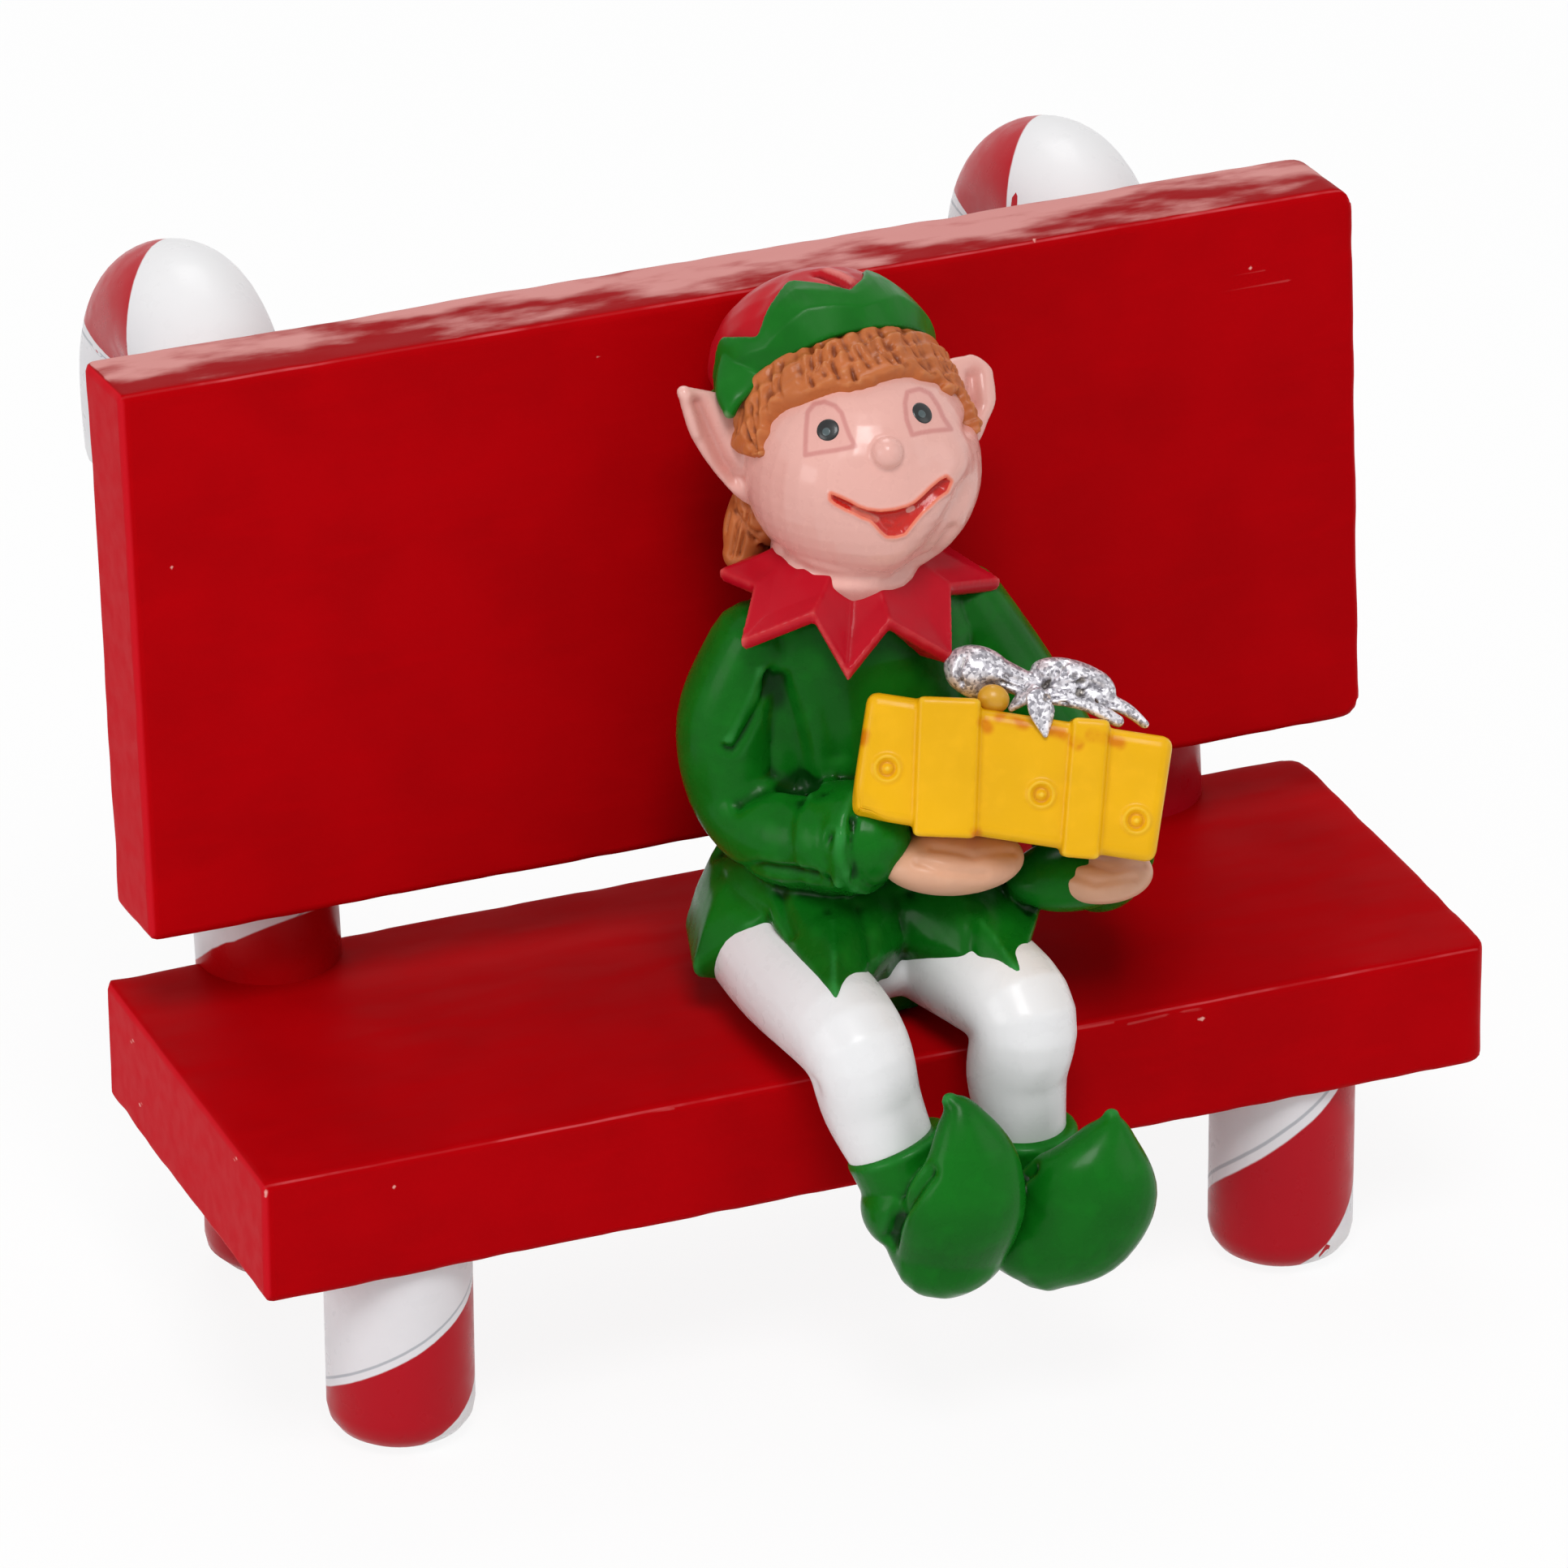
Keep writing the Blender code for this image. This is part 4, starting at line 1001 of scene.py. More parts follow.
def sleeve(name, line):
    """A sleeve and its cuff, along places that each have a share of the arm's radius."""
    stations = [(x, y, z + GLUE_GAP, ARM * share) for (x, y, z), share in line]
    arm = tube(name, stations, facing=(0, -0.4, 1))
    wrist, before = (Vector(stations[i][:3]) for i in (-1, -2))
    along = (wrist - before).normalized()
    rim = [(*(wrist - along * 2.3), 3.0), (*(wrist - along * 0.6), 3.1), (*(wrist + along * 0.1), 3.1)]
    return [arm, tube(f"{name}_cuff", rim, facing=(0, -0.4, 1), dome=0.15)]


tunic_forms = [torso, *sleeve("left_sleeve", LEFT_ARM), *sleeve("right_sleeve", RIGHT_ARM)]
tunic_forms.append(egg("right_turn_up", (11.2, 1.2, 8.5), (3.9, 2.4, 1.9)))
tunic = cast("tunic", tunic_forms, 0.18, 3)
print("the tunic has", len(tunic.data.polygons), "faces")

# %% [markdown]
# The folds of the tunic
#
# Each fold is a line of pixels, half its width and its depth in millimetres. A depth below
# zero raises a ridge beside a fold, where the cloth would bulge.

# %% Folds
FOLDS = [([(955, 843), (964, 865), (974, 898), (981, 930), (983, 965)], 0.85, 0.6),
         ([(909, 991), (938, 974), (961, 969), (992, 971), (1013, 974)], 0.45, 0.32),
         ([(946, 828), (944, 846), (927, 887), (903, 926), (893, 921)], 0.2, 0.28),
         ([(936, 826), (926, 850), (905, 893), (896, 910)], 0.35, -0.15),
         ([(883, 1049), (938, 1069), (1003, 1080)], 0.4, 0.4),
         ([(1022, 1030), (1020, 1088)], 0.25, 0.3), ([(1036, 1028), (1033, 1090)], 0.25, -0.18),
         ([(1050, 1010), (1052, 1085)], 0.2, 0.2),
         ([(985, 985), (1008, 1010), (1012, 1060)], 0.5, 0.2),
         ([(940, 1130), (905, 1105), (885, 1075)], 0.6, 0.25),
         ([(1020, 1120), (1050, 1105), (1120, 1100)], 0.5, 0.3),
         ([(960, 1100), (975, 1150)], 0.45, 0.25), ([(1060, 1120), (1075, 1190)], 0.45, 0.25),
         ([(1200, 1120), (1195, 1180)], 0.4, 0.2), ([(1270, 1120), (1290, 1175)], 0.4, 0.2),
         ([(1000, 830), (1020, 870), (1030, 930)], 0.7, 0.25)]
for pixels, width, depth in FOLDS:
    press(tunic, seen(tunic, pixels), width, depth)
print("the tunic has", len(FOLDS), "folds and ridges")
mark_hollows(tunic)
finished(tunic, leaf_green, "elf")

# %% [markdown]
# The collar
#
# The collar is a star cut from a sheet, as thick as the casting needs, and laid on the
# shoulders. Its tips and notches are drawn points, and the inner ring goes up into the neck.

# %% Collar
STAR = [(-6.1, 5.4, 23.3), (-2.4, 4.5, 24.6), (-1.0, 3.2, 21.5), (1.7, 3.9, 23.7), (5.0, 3.4, 21.3),
        (6.1, 6.2, 23.9), (9.7, 8.0, 22.8), (7.4, 10.9, 24.2), (7.0, 13.9, 22.6), (2.3, 13.6, 24.4),
        (-2.2, 14.0, 22.9), (-3.2, 11.6, 24.8), (-5.3, 10.4, 25.0), (-4.3, 8.0, 25.0)]
NECK = np.array((2.2, 9.3, 24.5))
UNDER_COLLAR = ((0.25, -1.2), (0.6, -1.0), (0.97, -0.8), (1.0, -0.45), (1.0, -0.1), (0.96, 0.0))
OVER_COLLAR = ((0.78, 0.5), (0.56, 1.4), (0.3, 2.8))


def collar_loops():
    """Rings of the star: in under it, round its edge, and back over it up to the neck."""
    outline = [np.array(p) + (0, 0, GLUE_GAP) for p in between(STAR, 4)]
    loops = []
    for share, lift in UNDER_COLLAR:
        loops.append([NECK + (p - NECK) * (share, share, 1) + (0, 0, lift) for p in outline])
    for share, climb in OVER_COLLAR:
        loops.append([NECK + (p - NECK) * (share, share, share) + (0, 0, climb) for p in outline])
    return loops


collar = cast("collar", [loft("collar_sheet", collar_loops())], 0.13, 2)
mark_hollows(collar, 3)
finished(collar, collar_red, "elf")

# %% [markdown]
# The head
#
# The head is a ball, a little flatter below its middle, with a small ball for a nose, a stout
# neck and a pair of pointed ears. All are cast in one.

# %% Head, nose and ears
HEAD = (2.6, 9.8, 29.9)
HEAD_RADIUS = 6.25
EAR_PROFILE = ((-0.3, 0.8, 1.0), (0.0, 1.0, 1.0), (0.35, 0.92, 1.0))


def on_head(direction, reach):
    """The drawn point at some reach from the head's middle."""
    return tuple(np.array(HEAD) + np.array(Vector(direction).normalized()) * reach)


def ear(name, root, tip, width, point):
    """A flat leaf from root to tip. The point says how blunt its tip is, as a share of its width."""
    root, tip = Vector(root), Vector(tip)
    profile = (*EAR_PROFILE, (0.7, 0.55 + point * 0.6, 0.8), (1.0, point, 0.5))
    line = [(*root.lerp(tip, s), width * w, 0.75 * t) for s, w, t in profile]
    return tube(name, line, facing=(-0.2, -1, 0.4))


skull = egg("skull", HEAD, (HEAD_RADIUS,) * 3)
for vertex in skull.data.vertices:
    low = min(0.0, vertex.co.z - at(*HEAD).z)
    vertex.co.z -= 0.07 * low
head_forms = [skull,
              egg("nose", on_head((-0.125, -0.83, 0.515), HEAD_RADIUS + 0.05), (0.85,) * 3),
              tube("neck", [(2.1, 9.6, 22.3, 3.0), (1.5, 9.2, 26.0, 4.1)], facing=(0, -1, 0)),
              ear("left_ear", (-2.0, 12.3, 29.7), (-6.2, 12.9, 34.5), 2.1, 0.18),
              ear("right_ear", (7.5, 10.2, 31.8), (10.0, 11.6, 33.7), 2.2, 0.42)]
head = cast("head", head_forms, 0.12, 4)
print("the head has", len(head.data.polygons), "faces")

# %% [markdown]
# Modelling the face
#
# Cheeks, chin, temples and the hollows of the ears are pushed in and out a little at their
# places in the photo. Then the mouth is sunk in along its outline, with soft lips round it. It
# is a doll's face, as plain as on any such elf.

# %% Cheeks and mouth
SHAPING = [([(862, 498), (876, 535), (892, 572), (906, 592)], 0.42, 0.55),
           ([(846, 490), (858, 535), (878, 585)], 0.3, -0.12),
           ([(1200, 462), (1203, 495), (1193, 530)], 0.42, 0.5),
           ([(1000, 590)], 1.9, -0.32), ([(1178, 572)], 1.5, -0.38), ([(1100, 690)], 1.7, -0.25),
           ([(1190, 500)], 0.9, 0.35), ([(1021, 538)], 1.1, 0.16), ([(1140, 513)], 1.0, 0.14),
           ([(1040, 580), (1075, 600), (1120, 597), (1150, 575)], 0.5, 0.05),
           ([(1192, 610), (1168, 655), (1138, 690)], 1.2, 0.6),
           ([(960, 680), (990, 703), (1030, 714), (1075, 716), (1115, 706), (1150, 684), (1172, 655)],
            0.42, 0.34)]
for pixels, width, depth in SHAPING:
    press(head, seen(head, pixels), width, depth)
MOUTH = [(1024, 609), (1034, 613), (1047, 619), (1057, 625), (1069, 629), (1085, 631), (1103, 629),
         (1118, 625), (1128, 620), (1138, 611), (1148, 601), (1159, 592), (1166, 588), (1171, 593),
         (1166, 605), (1154, 613), (1145, 622), (1136, 630), (1129, 638), (1121, 648), (1114, 657),
         (1104, 660), (1093, 660), (1086, 654), (1080, 647), (1073, 640), (1062, 636), (1053, 631),
         (1043, 627), (1030, 620), (1024, 615)]
TONGUE = [(1090, 642), (1103, 649), (1115, 636)]
co, normal = mesh_arrays(head)
mouth_away = outside(head, MOUTH)
sunk = 0.42 * np.clip(-mouth_away / 0.3, 0, 1) ** 0.7
lips = 0.10 * np.exp(-((mouth_away - 0.12) / 0.12) ** 2)
move_vertices(head, co + normal * ((lips - sunk) * MM)[:, None])
SKINS.clear()
press(head, seen(head, TONGUE), 0.16, -0.16)
mark_hollows(head)
print("the mouth is", round(float(-mouth_away.min()), 2), "mm deep inside its outline")

# %% [markdown]
# The painted features
#
# The mouth, the lines round the eyes and the pink of the ears are painted on the skin. Each
# vertex keeps how far it is from their outlines, in millimetres as the photo shows them, and
# the paint turns those distances into crisp or soft edges.

# %% Painted features
EYE_LINES = [[(992, 561), (993, 530), (995, 508), (1003, 498), (1016, 495), (1029, 500), (1037, 509),
              (1042, 524), (1047, 537), (1054, 550), (1029, 555), (1008, 558)],
             [(1124, 536), (1117, 517), (1115, 497), (1118, 483), (1133, 479), (1146, 485),
              (1156, 500), (1162, 514), (1172, 529), (1149, 531), (1136, 533)]]
UNDER_LIP = [(1052, 627), (1060, 631), (1070, 635), (1080, 640)]
TEETH = [(1119, 629), (1125, 626)]
EAR_PINK = [[(862, 498), (876, 535), (892, 572)], [(1200, 462), (1196, 525)]]
store(head, "mouth", outside(head, MOUTH))
eyes_away = [outside(head, line) for line in EYE_LINES]
store(head, "eye_line", np.minimum(*[np.abs(away) for away in eyes_away]))
store(head, "eye_field", np.minimum(*eyes_away))
store(head, "under_lip", outside(head, UNDER_LIP, closed=False))
store(head, "teeth", outside(head, TEETH, closed=False))
store(head, "blush", np.minimum(*[outside(head, line, closed=False) for line in EAR_PINK]))
LAYERS = [("blush", 0.2, 0.9, 0.35, (0.62, 0.20, 0.17)),
          ("eye_field", -0.1, 0.0, 0.25, (0.66, 0.30, 0.27)),
          ("eye_line", 0.04, 0.20, 0.65, (0.50, 0.16, 0.15)),
          ("mouth", 0.07, 0.26, 0.85, (0.76, 0.15, 0.07)),
          ("mouth", -0.03, 0.03, 1.0, (0.50, 0.012, 0.006)),
          ("under_lip", 0.10, 0.22, 0.8, (0.62, 0.17, 0.12)),
          ("teeth", 0.10, 0.16, 0.8, (0.75, 0.35, 0.3))]
tree, shader, tint = top_coat(skin_pink)
for key, low, high, share, colour in LAYERS:
    tint = mix_colour(tree, remap(tree, attribute(tree, key), low, high, share, 0.0), tint, colour)
tree.links.new(tint, shader.inputs["Base Color"])
finished(head, skin_pink, "elf")
print("the face has", len(LAYERS), "layers of paint over the skin")

# %% [markdown]
# The eyes
#
# A pupil is a flat drop of black paint, so it is an egg squashed against the skin and turned to
# the skin's own direction. A smaller and thinner grey drop on top is its glint.

# %% Eyes
EYES = (("left_eye", (1020, 530), (1018, 532)), ("right_eye", (1136, 509), (1136, 510)))


def flat_paint(name, colour, roughness=0.25, coat=0.4):
    """A paint of one tone, with only a little pooled paint and painted shade in hollows, and a little
    wear and painted highlight on ridges.
    """
    pooled_and_shade = tuple(c * 0.6 for c in colour)
    worn_and_highlight = tuple(min(1, c * 1.3) for c in colour)
    return paint(name, colour, pooled_and_shade, worn_and_highlight, roughness, coat)


def drawn(point):
    """A frame point as a drawn one."""
    return tuple((Vector(point) - ORIGIN) / MM)


def drop(name, carrier, pixel, wide, thick):
    """A flat drop of paint on the skin."""
    point = seen(carrier, [pixel])[0]
    normal = skin(carrier).find_nearest(point)[1]
    turn = normal.to_track_quat("Z", "Y").to_matrix()
    return egg(name, drawn(point), (wide, wide, thick), turn)


def smoothed(piece, material):
    """A small piece of the elf, with its hollows marked and its paint on."""
    mark_hollows(piece, 2)
    return finished(piece, material, "elf")


eye_black = flat_paint("eye_paint", (0.004, 0.0045, 0.005), 0.3, 0.25)
glint_grey = flat_paint("glint_paint", (0.05, 0.075, 0.08), 0.3)
for name, pixel, glint in EYES:
    smoothed(drop(name, head, pixel, 0.60, 0.13), eye_black)
    smoothed(drop(f"{name}_glint", bpy.data.objects[name], glint, 0.22, 0.03), glint_grey)

# %% [markdown]
# The hair
#
# The hair is a ball a little larger than the head. Where the face shows, its skin is drawn
# back under that of the head, so that it ends in a thick rounded edge along the hairline. It
# rises to meet the cap. Three short tubes are the tail of hair behind the neck.

# %% Hair
CAP_AXIS = Vector((-0.038, 0.791, 0.611)).normalized()
CAP_ACROSS = Vector((0.926, -0.201, 0.318)).normalized()
CAP_FRONT = Vector((-0.375, -0.578, 0.725)).normalized()
CAP = np.array(HEAD) + np.array(CAP_AXIS) * 5.3 + np.array((0.1, -0.3, 0.3))
FRINGE = [(890, 548), (905, 560), (920, 566), (933, 562), (936, 540), (940, 515), (953, 500),
          (972, 494), (986, 487), (1000, 482), (1013, 480), (1034, 476), (1055, 474), (1075, 473),
          (1086, 466), (1100, 462), (1115, 458), (1130, 457), (1145, 461), (1158, 466), (1168, 474),
          (1178, 486), (1186, 478)]
ABOVE_FRINGE = [(1300, 478), (1300, 200), (700, 200), (700, 548)]
NAPE = [(-1.0, 13.0, 27.9, 2.1), (-2.3, 13.2, 25.8, 1.6), (-3.0, 13.0, 24.6, 1.0)]
UNDER_SKIN = 5.0
hair_ball = egg("hair_ball", HEAD, (1, 1, 1))
use_modifier(hair_ball, "SUBSURF", levels=2)
co, normal = mesh_arrays(hair_ball)
out = (co - np.array(at(*HEAD))) / MM
out /= np.linalg.norm(out, axis=1)[:, None]
lean = np.degrees(np.arccos(np.clip(out @ np.array(CAP_AXIS), -1, 1)))
reach = HEAD_RADIUS + 0.42 + 1.1 * step(lean, 80, 47) + 0.10 * np.sin(lean * 0.9 + out[:, 0] * 9)
move_vertices(hair_ball, np.array(at(*HEAD)) + out * reach[:, None] * MM)
front = out @ -np.array(ahead)
shown = outside(hair_ball, FRINGE + ABOVE_FRINGE)
over_face = step(-shown, -0.12, 0.12) * (shown < 8)
behind = step(-(out @ np.array((0.0, -0.94, -0.34))), 0.38, 0.46)
above = step(out[:, 2], 0.18, 0.3) * (front < 0.12)
covered = np.maximum(over_face, np.maximum(behind, above))
reach = UNDER_SKIN + (reach - UNDER_SKIN) * covered
move_vertices(hair_ball, np.array(at(*HEAD)) + out * reach[:, None] * MM)
hair_forms = [hair_ball]
for i in range(3):
    lock = [(x + i * 2.6, y + 0.8 * (i > 0), z, r) for x, y, z, r in NAPE]
    hair_forms.append(tube(f"nape_{i}", lock, facing=(0, 1, 0)))
hair = cast("hair", hair_forms, 0.11, 2)
print("the hair has", len(hair.data.polygons), "faces")

# %% [markdown]
# The strands of the hair
#
# Strands are carved in as the sculptor did. Short curved grooves run from the cap down to the
# fringe, each between a place on the line of the roots and one on the fringe. Long ones run
# down the back of the head, and three more down the tail behind the neck. A groove is its
# points, half its width and its depth. Steps of a fixed ratio make them uneven, the same way
# in each run.

# %% Strands
ROOTS = [(893, 515), (900, 505), (908, 492), (916, 480), (924, 470), (933, 458), (942, 449),
         (952, 441), (965, 432), (979, 425), (994, 416), (1010, 408), (1025, 402), (1040, 397),
         (1056, 394), (1071, 392), (1087, 392), (1102, 394), (1117, 398), (1130, 403), (1142, 409),
         (1153, 417), (1163, 430)]
NAPE_STROKE = [(908, 632), (903, 655), (896, 685)]
SHORT_STRANDS = 52
LONG_STRANDS = 44


def between_open(points, count):
    """The same open line with more points on each straight stretch."""
    rich = []
    for a, b in zip(points, points[1:]):
        rich += [tuple(p + (q - p) * i / count for p, q in zip(a, b)) for i in range(count)]
    return rich + [points[-1]]


roots = np.array(between_open(ROOTS, 4), float)
tips = np.array(between_open(FRINGE, 4), float)
strands = []
for index in range(SHORT_STRANDS):
    chance = index * 0.618 % 1
    place = (index + 0.9 * chance) / (SHORT_STRANDS + 1)
    slant = 0.16 - 0.22 * place + 0.07 * math.sin(index * 1.7)
    root = roots[int(place * (len(roots) - 1))]
    tip = tips[int(np.clip(place - slant, 0, 1) * (len(tips) - 1))]
    start = 0.72 * (index * 0.382 % 1)
    reach_down = start + 0.22 + 0.30 * chance
    bend = 9 * math.sin(index * 2.4) - 6
    line = [root + (tip - root) * s + np.array((bend * math.sin(math.pi * s), 0))
            for s in np.linspace(start, min(reach_down, 1.02), 6)]
    strands.append((seen(hair, line), 0.14 + 0.10 * chance, 0.12 + 0.16 * (index * 0.29 % 1)))
for index in range(LONG_STRANDS):
    turn = math.radians(index * 8.2 + 4 * math.sin(index * 3.1))
    side = CAP_ACROSS * math.cos(turn) + CAP_FRONT * math.sin(turn)
    line = []
    for lean_by in range(50 + 11 * (index % 2), 124 - 9 * (index % 3), 9):
        bend = math.radians(lean_by)
        sway = CAP_AXIS.cross(side) * 0.10 * math.sin(index * 2.4 + lean_by * 0.06)
        ray = (CAP_AXIS * math.cos(bend) + side * math.sin(bend) + sway).normalized()
        if ray.dot(-ahead) < 0.15:
            line.append(skin(hair).find_nearest(at(*HEAD) + ray * 7 * MM)[0])
    strands.append((line, 0.14 + 0.06 * (index * 0.618 % 1), 0.26))
for aside in (-9, 4, 14):
    strands.append((seen(hair, [(px + aside, py) for px, py in NAPE_STROKE]), 0.12, 0.25))
carve(hair, strands)
print(len(strands), "strands are carved")

# %% [markdown]
# The paint of the hair
#
# A dark wash lies in the grooves of the real hair, in some more than in others. Each vertex
# keeps how far it is from the nearest strand, and the paint darkens there, broken by a noise.

# %% Dark strokes in the hair
STROKE_BROWN = (0.12, 0.018, 0.003)
co, normal = mesh_arrays(hair)
away = [distance_to_line(co, line) / MM for line, width, depth in strands if len(line) > 1]
store(hair, "stroke", np.minimum.reduce(away))
tree, shader, tint = top_coat(hair_brown)
uneven = remap(tree, texture(tree, 700, 2), 0.40, 0.58)
dark = product(tree, remap(tree, attribute(tree, "stroke"), 0.06, 0.19, 0.9, 0.0), uneven)
tree.links.new(mix_colour(tree, dark, tint, STROKE_BROWN), shader.inputs["Base Color"])
mark_hollows(hair)
finished(hair, hair_brown, "elf")

# %% [markdown]
# The cap
#
# The crown is a loft of rings along the cap's axis, which leans over to the left as it rises,
# like soft felt. A ring is its height above the brim's foot and its radius. Two creases and a
# ridge cross the crown where the felt would fold.

# %% Crown
CROWN = [(-0.4, 4.9), (0.0, 5.4), (0.7, 5.6), (1.6, 5.65), (2.6, 5.5), (3.6, 5.0), (4.5, 4.2),
         (5.15, 3.2), (5.6, 2.1), (5.85, 1.1), (5.9, 0.3)]


def cap_point(angle, height, out):
    """A drawn point on the cap, at an angle round it, a height above the brim's foot, and out."""
    heights, radii = zip(*CROWN)
    radius = np.interp(height, heights, radii) + out
    lean_left = 0.55 * min(1.0, max(0.0, height / 2.5))
    side = CAP_ACROSS * math.cos(angle) + CAP_FRONT * math.sin(angle)
    aside = np.array(side) * radius - np.array(CAP_ACROSS) * lean_left
    return tuple(CAP + np.array(CAP_AXIS) * height + aside)


CROWN_FOLDS = [([(985, 331), (1008, 337), (1032, 345), (1056, 357)], 0.30, 0.42),
               ([(996, 328), (1020, 333), (1046, 345)], 0.35, -0.15),
               ([(960, 345), (940, 368), (926, 400)], 0.5, 0.12)]
turns = np.linspace(0, 2 * math.pi, 72, endpoint=False)
crown_loops = [[cap_point(angle, height, 0) for angle in turns] for height, radius in CROWN]
crown = cast("cap_crown", [loft("crown", crown_loops)], 0.14, 2)
for pixels, width, depth in CROWN_FOLDS:
    press(crown, seen(crown, pixels), width, depth)
mark_hollows(crown)
finished(crown, cap_red, "elf")

# %% [markdown]
# The brim
#
# The brim is turned up and cut into uneven peaks, each given by its angle round the cap and its
# height. It is a ring that hugs the crown, cast by itself because it has another paint. At the
# left it hangs down beside the hair as a flap, which is a flat tube through pixels, each at its
# own distance to the rear.

# %% Brim
PEAKS = [(0, 1.2), (12, 2.6), (24, 3.3), (34, 3.9), (46, 2.9), (60, 2.1), (76, 3.2), (88, 3.9),
         (103, 2.6), (116, 1.4), (136, 2.75), (150, 1.9), (164, 1.2), (188, 2.0), (212, 1.1),
         (238, 2.6), (262, 1.2), (288, 2.6), (312, 1.2), (336, 1.9), (348, 0.9), (360, 1.2)]


def brim_loops():
    """Rows of the brim's ring, from inside its foot over its outer side to inside its edge."""
    rows = [[] for _ in range(8)]
    for degrees in range(0, 360, 3):
        rise = float(np.interp(degrees, *zip(*PEAKS)))
        section = ((0.05, -0.3), (-0.25, 0.1), (-0.2, 0.42), (rise * 0.4, 0.5),
                   (rise * 0.8, 0.42), (rise, 0.34), (rise, 0.0), (rise * 0.5, -0.3))
        for row, (height, out) in enumerate(section):
            rows[row].append(cap_point(math.radians(degrees), height, out))
    return rows


def closed_ring(name, rows):
    """A loft whose last row joins its first, with the two end caps taken out."""
    piece = loft(name, rows + [rows[0]])
    pick_only(piece)
    bpy.ops.object.mode_set(mode="EDIT")
    bpy.ops.mesh.select_all(action="DESELECT")
    bpy.ops.object.mode_set(mode="OBJECT")
    for face in piece.data.polygons:
        face.select = len(face.vertices) > 4
    bpy.ops.object.mode_set(mode="EDIT")
    bpy.ops.mesh.select_mode(type="FACE")
    bpy.ops.mesh.delete(type="FACE")
    bpy.ops.mesh.select_all(action="SELECT")
    bpy.ops.mesh.remove_doubles(threshold=1e-7)
    bpy.ops.mesh.normals_make_consistent(inside=False)
    bpy.ops.object.mode_set(mode="OBJECT")
    return piece


def at_depth(px, py, y):
    """The drawn point that the photo shows at a pixel, at a given distance to the rear."""
    ray = pixel_ray(px, py)
    return drawn(eye + ray * ((at(0, y, 0).y - eye.y) / ray.y))


FLAP = [((926, 432), 13.4, 1.5), ((912, 460), 12.6, 1.3), ((901, 487), 11.8, 0.9),
        ((899, 508), 11.3, 0.35)]
FLAP_THICKNESS = 0.4
flap_line = [(*at_depth(*pixel, y), wide, FLAP_THICKNESS) for pixel, y, wide in FLAP]
flap = tube("brim_flap", flap_line, facing=(-0.7, -0.7, 0.2))
brim = cast("cap_brim", [closed_ring("brim_ring", brim_loops()), flap], 0.11, 2)
mark_hollows(brim, 3)
brim_green = paint("brim_green_paint", GREEN, (0.0005, 0.012, 0.002), (0.30, 0.42, 0.22), 0.34, 0.03,
                   ridge=(0.02, 0.05), mottle=0.25, specular=0.12)
finished(brim, brim_green, "elf")

# %% [markdown]
# The hands
#
# The hands are simple mitts under the gift box, with shallow lines between the fingers. Each
# has its place, its radii, a slight tilt in radians, and the pixels of its lines.

# %% Hands
HANDS = [("left_hand", (3.9, 0.8, 10.9), (4.0, 2.6, 1.7), 0.10,
          [[(1130, 1062), (1165, 1075), (1215, 1078)], [(1150, 1045), (1200, 1055), (1250, 1050)]]),
         ("right_hand", (12.2, 0.3, 8.7), (2.85, 2.4, 1.4), 0.05,
          [[(1310, 1075), (1350, 1088), (1400, 1082)], [(1330, 1062), (1370, 1070), (1410, 1066)]])]
for name, place, radii, tilt, lines in HANDS:
    hand = cast(name, [egg(name, place, radii, Matrix.Rotation(tilt, 3, "Y"))], 0.14, 2)
    for pixels in lines:
        press(hand, seen(hand, pixels), 0.24, 0.13)
    mark_hollows(hand)
    finished(hand, hand_tan, "elf")

# %% [markdown]
# The gift box
#
# The box is a bevelled cube with two raised ribbons, which lean a little, cast in yellow. It is
# made square to the axes and then turned as a whole to the way the elf holds it.

# %% Gift box
GIFT_SIZE = (16.1, 6.0, 6.6)
GIFT_TURN = (Matrix.Rotation(math.radians(-22.0), 3, "Z") @ Matrix.Rotation(math.radians(-26.6), 3, "X")
             @ Matrix.Rotation(math.radians(9.0), 3, "Y"))
GIFT_MIDDLE = Vector((6.0, -2.2, 16.7)) + GIFT_TURN @ Vector((0, GIFT_SIZE[1] / 2, 0))


def held(x, y, z):
    """A point of the gift, drawn from the middle of the box, as a drawn point of the figure."""
    return tuple(GIFT_MIDDLE + GIFT_TURN @ Vector((x, y, z)))


def gift_block(name, size, x, bevel, tilt=0.0):
    """A bevelled slab of the gift, centred at x along the box and tilted as seen from the front."""
    bpy.ops.object.select_all(action="DESELECT")
    bpy.ops.mesh.primitive_cube_add(size=1)
    piece = bpy.context.object
    piece.name = name
    piece.data.transform(Matrix.Diagonal((*size, 1)))
    bpy.ops.object.mode_set(mode="EDIT")
    bpy.ops.mesh.select_all(action="SELECT")
    bpy.ops.mesh.bevel(offset=bevel, segments=3)
    bpy.ops.object.mode_set(mode="OBJECT")
    piece.data.transform(Matrix.Scale(MM, 4) @ Matrix.Translation((x, 0, 0))
                         @ Matrix.Rotation(math.radians(tilt), 4, "Y"))
    return piece


RIBBON_RISE = 0.7
RIBBONS = (("left_ribbon", -3.4, 3.3, -6.5), ("right_ribbon", 3.9, 2.0, -4.0))
box_forms = [gift_block("gift_box", GIFT_SIZE, 0, 0.55)]
for name, x, width, tilt in RIBBONS:
    ribbon_size = (width, GIFT_SIZE[1] + RIBBON_RISE, GIFT_SIZE[2] + RIBBON_RISE)
    box_forms.append(gift_block(name, ribbon_size, x, 0.3, tilt))
gift = cast("gift_box", box_forms, 0.1, 2)
gift.data.transform(Matrix.Translation(at(*GIFT_MIDDLE)) @ GIFT_TURN.to_4x4())
print("the gift box is", GIFT_SIZE, "mm")

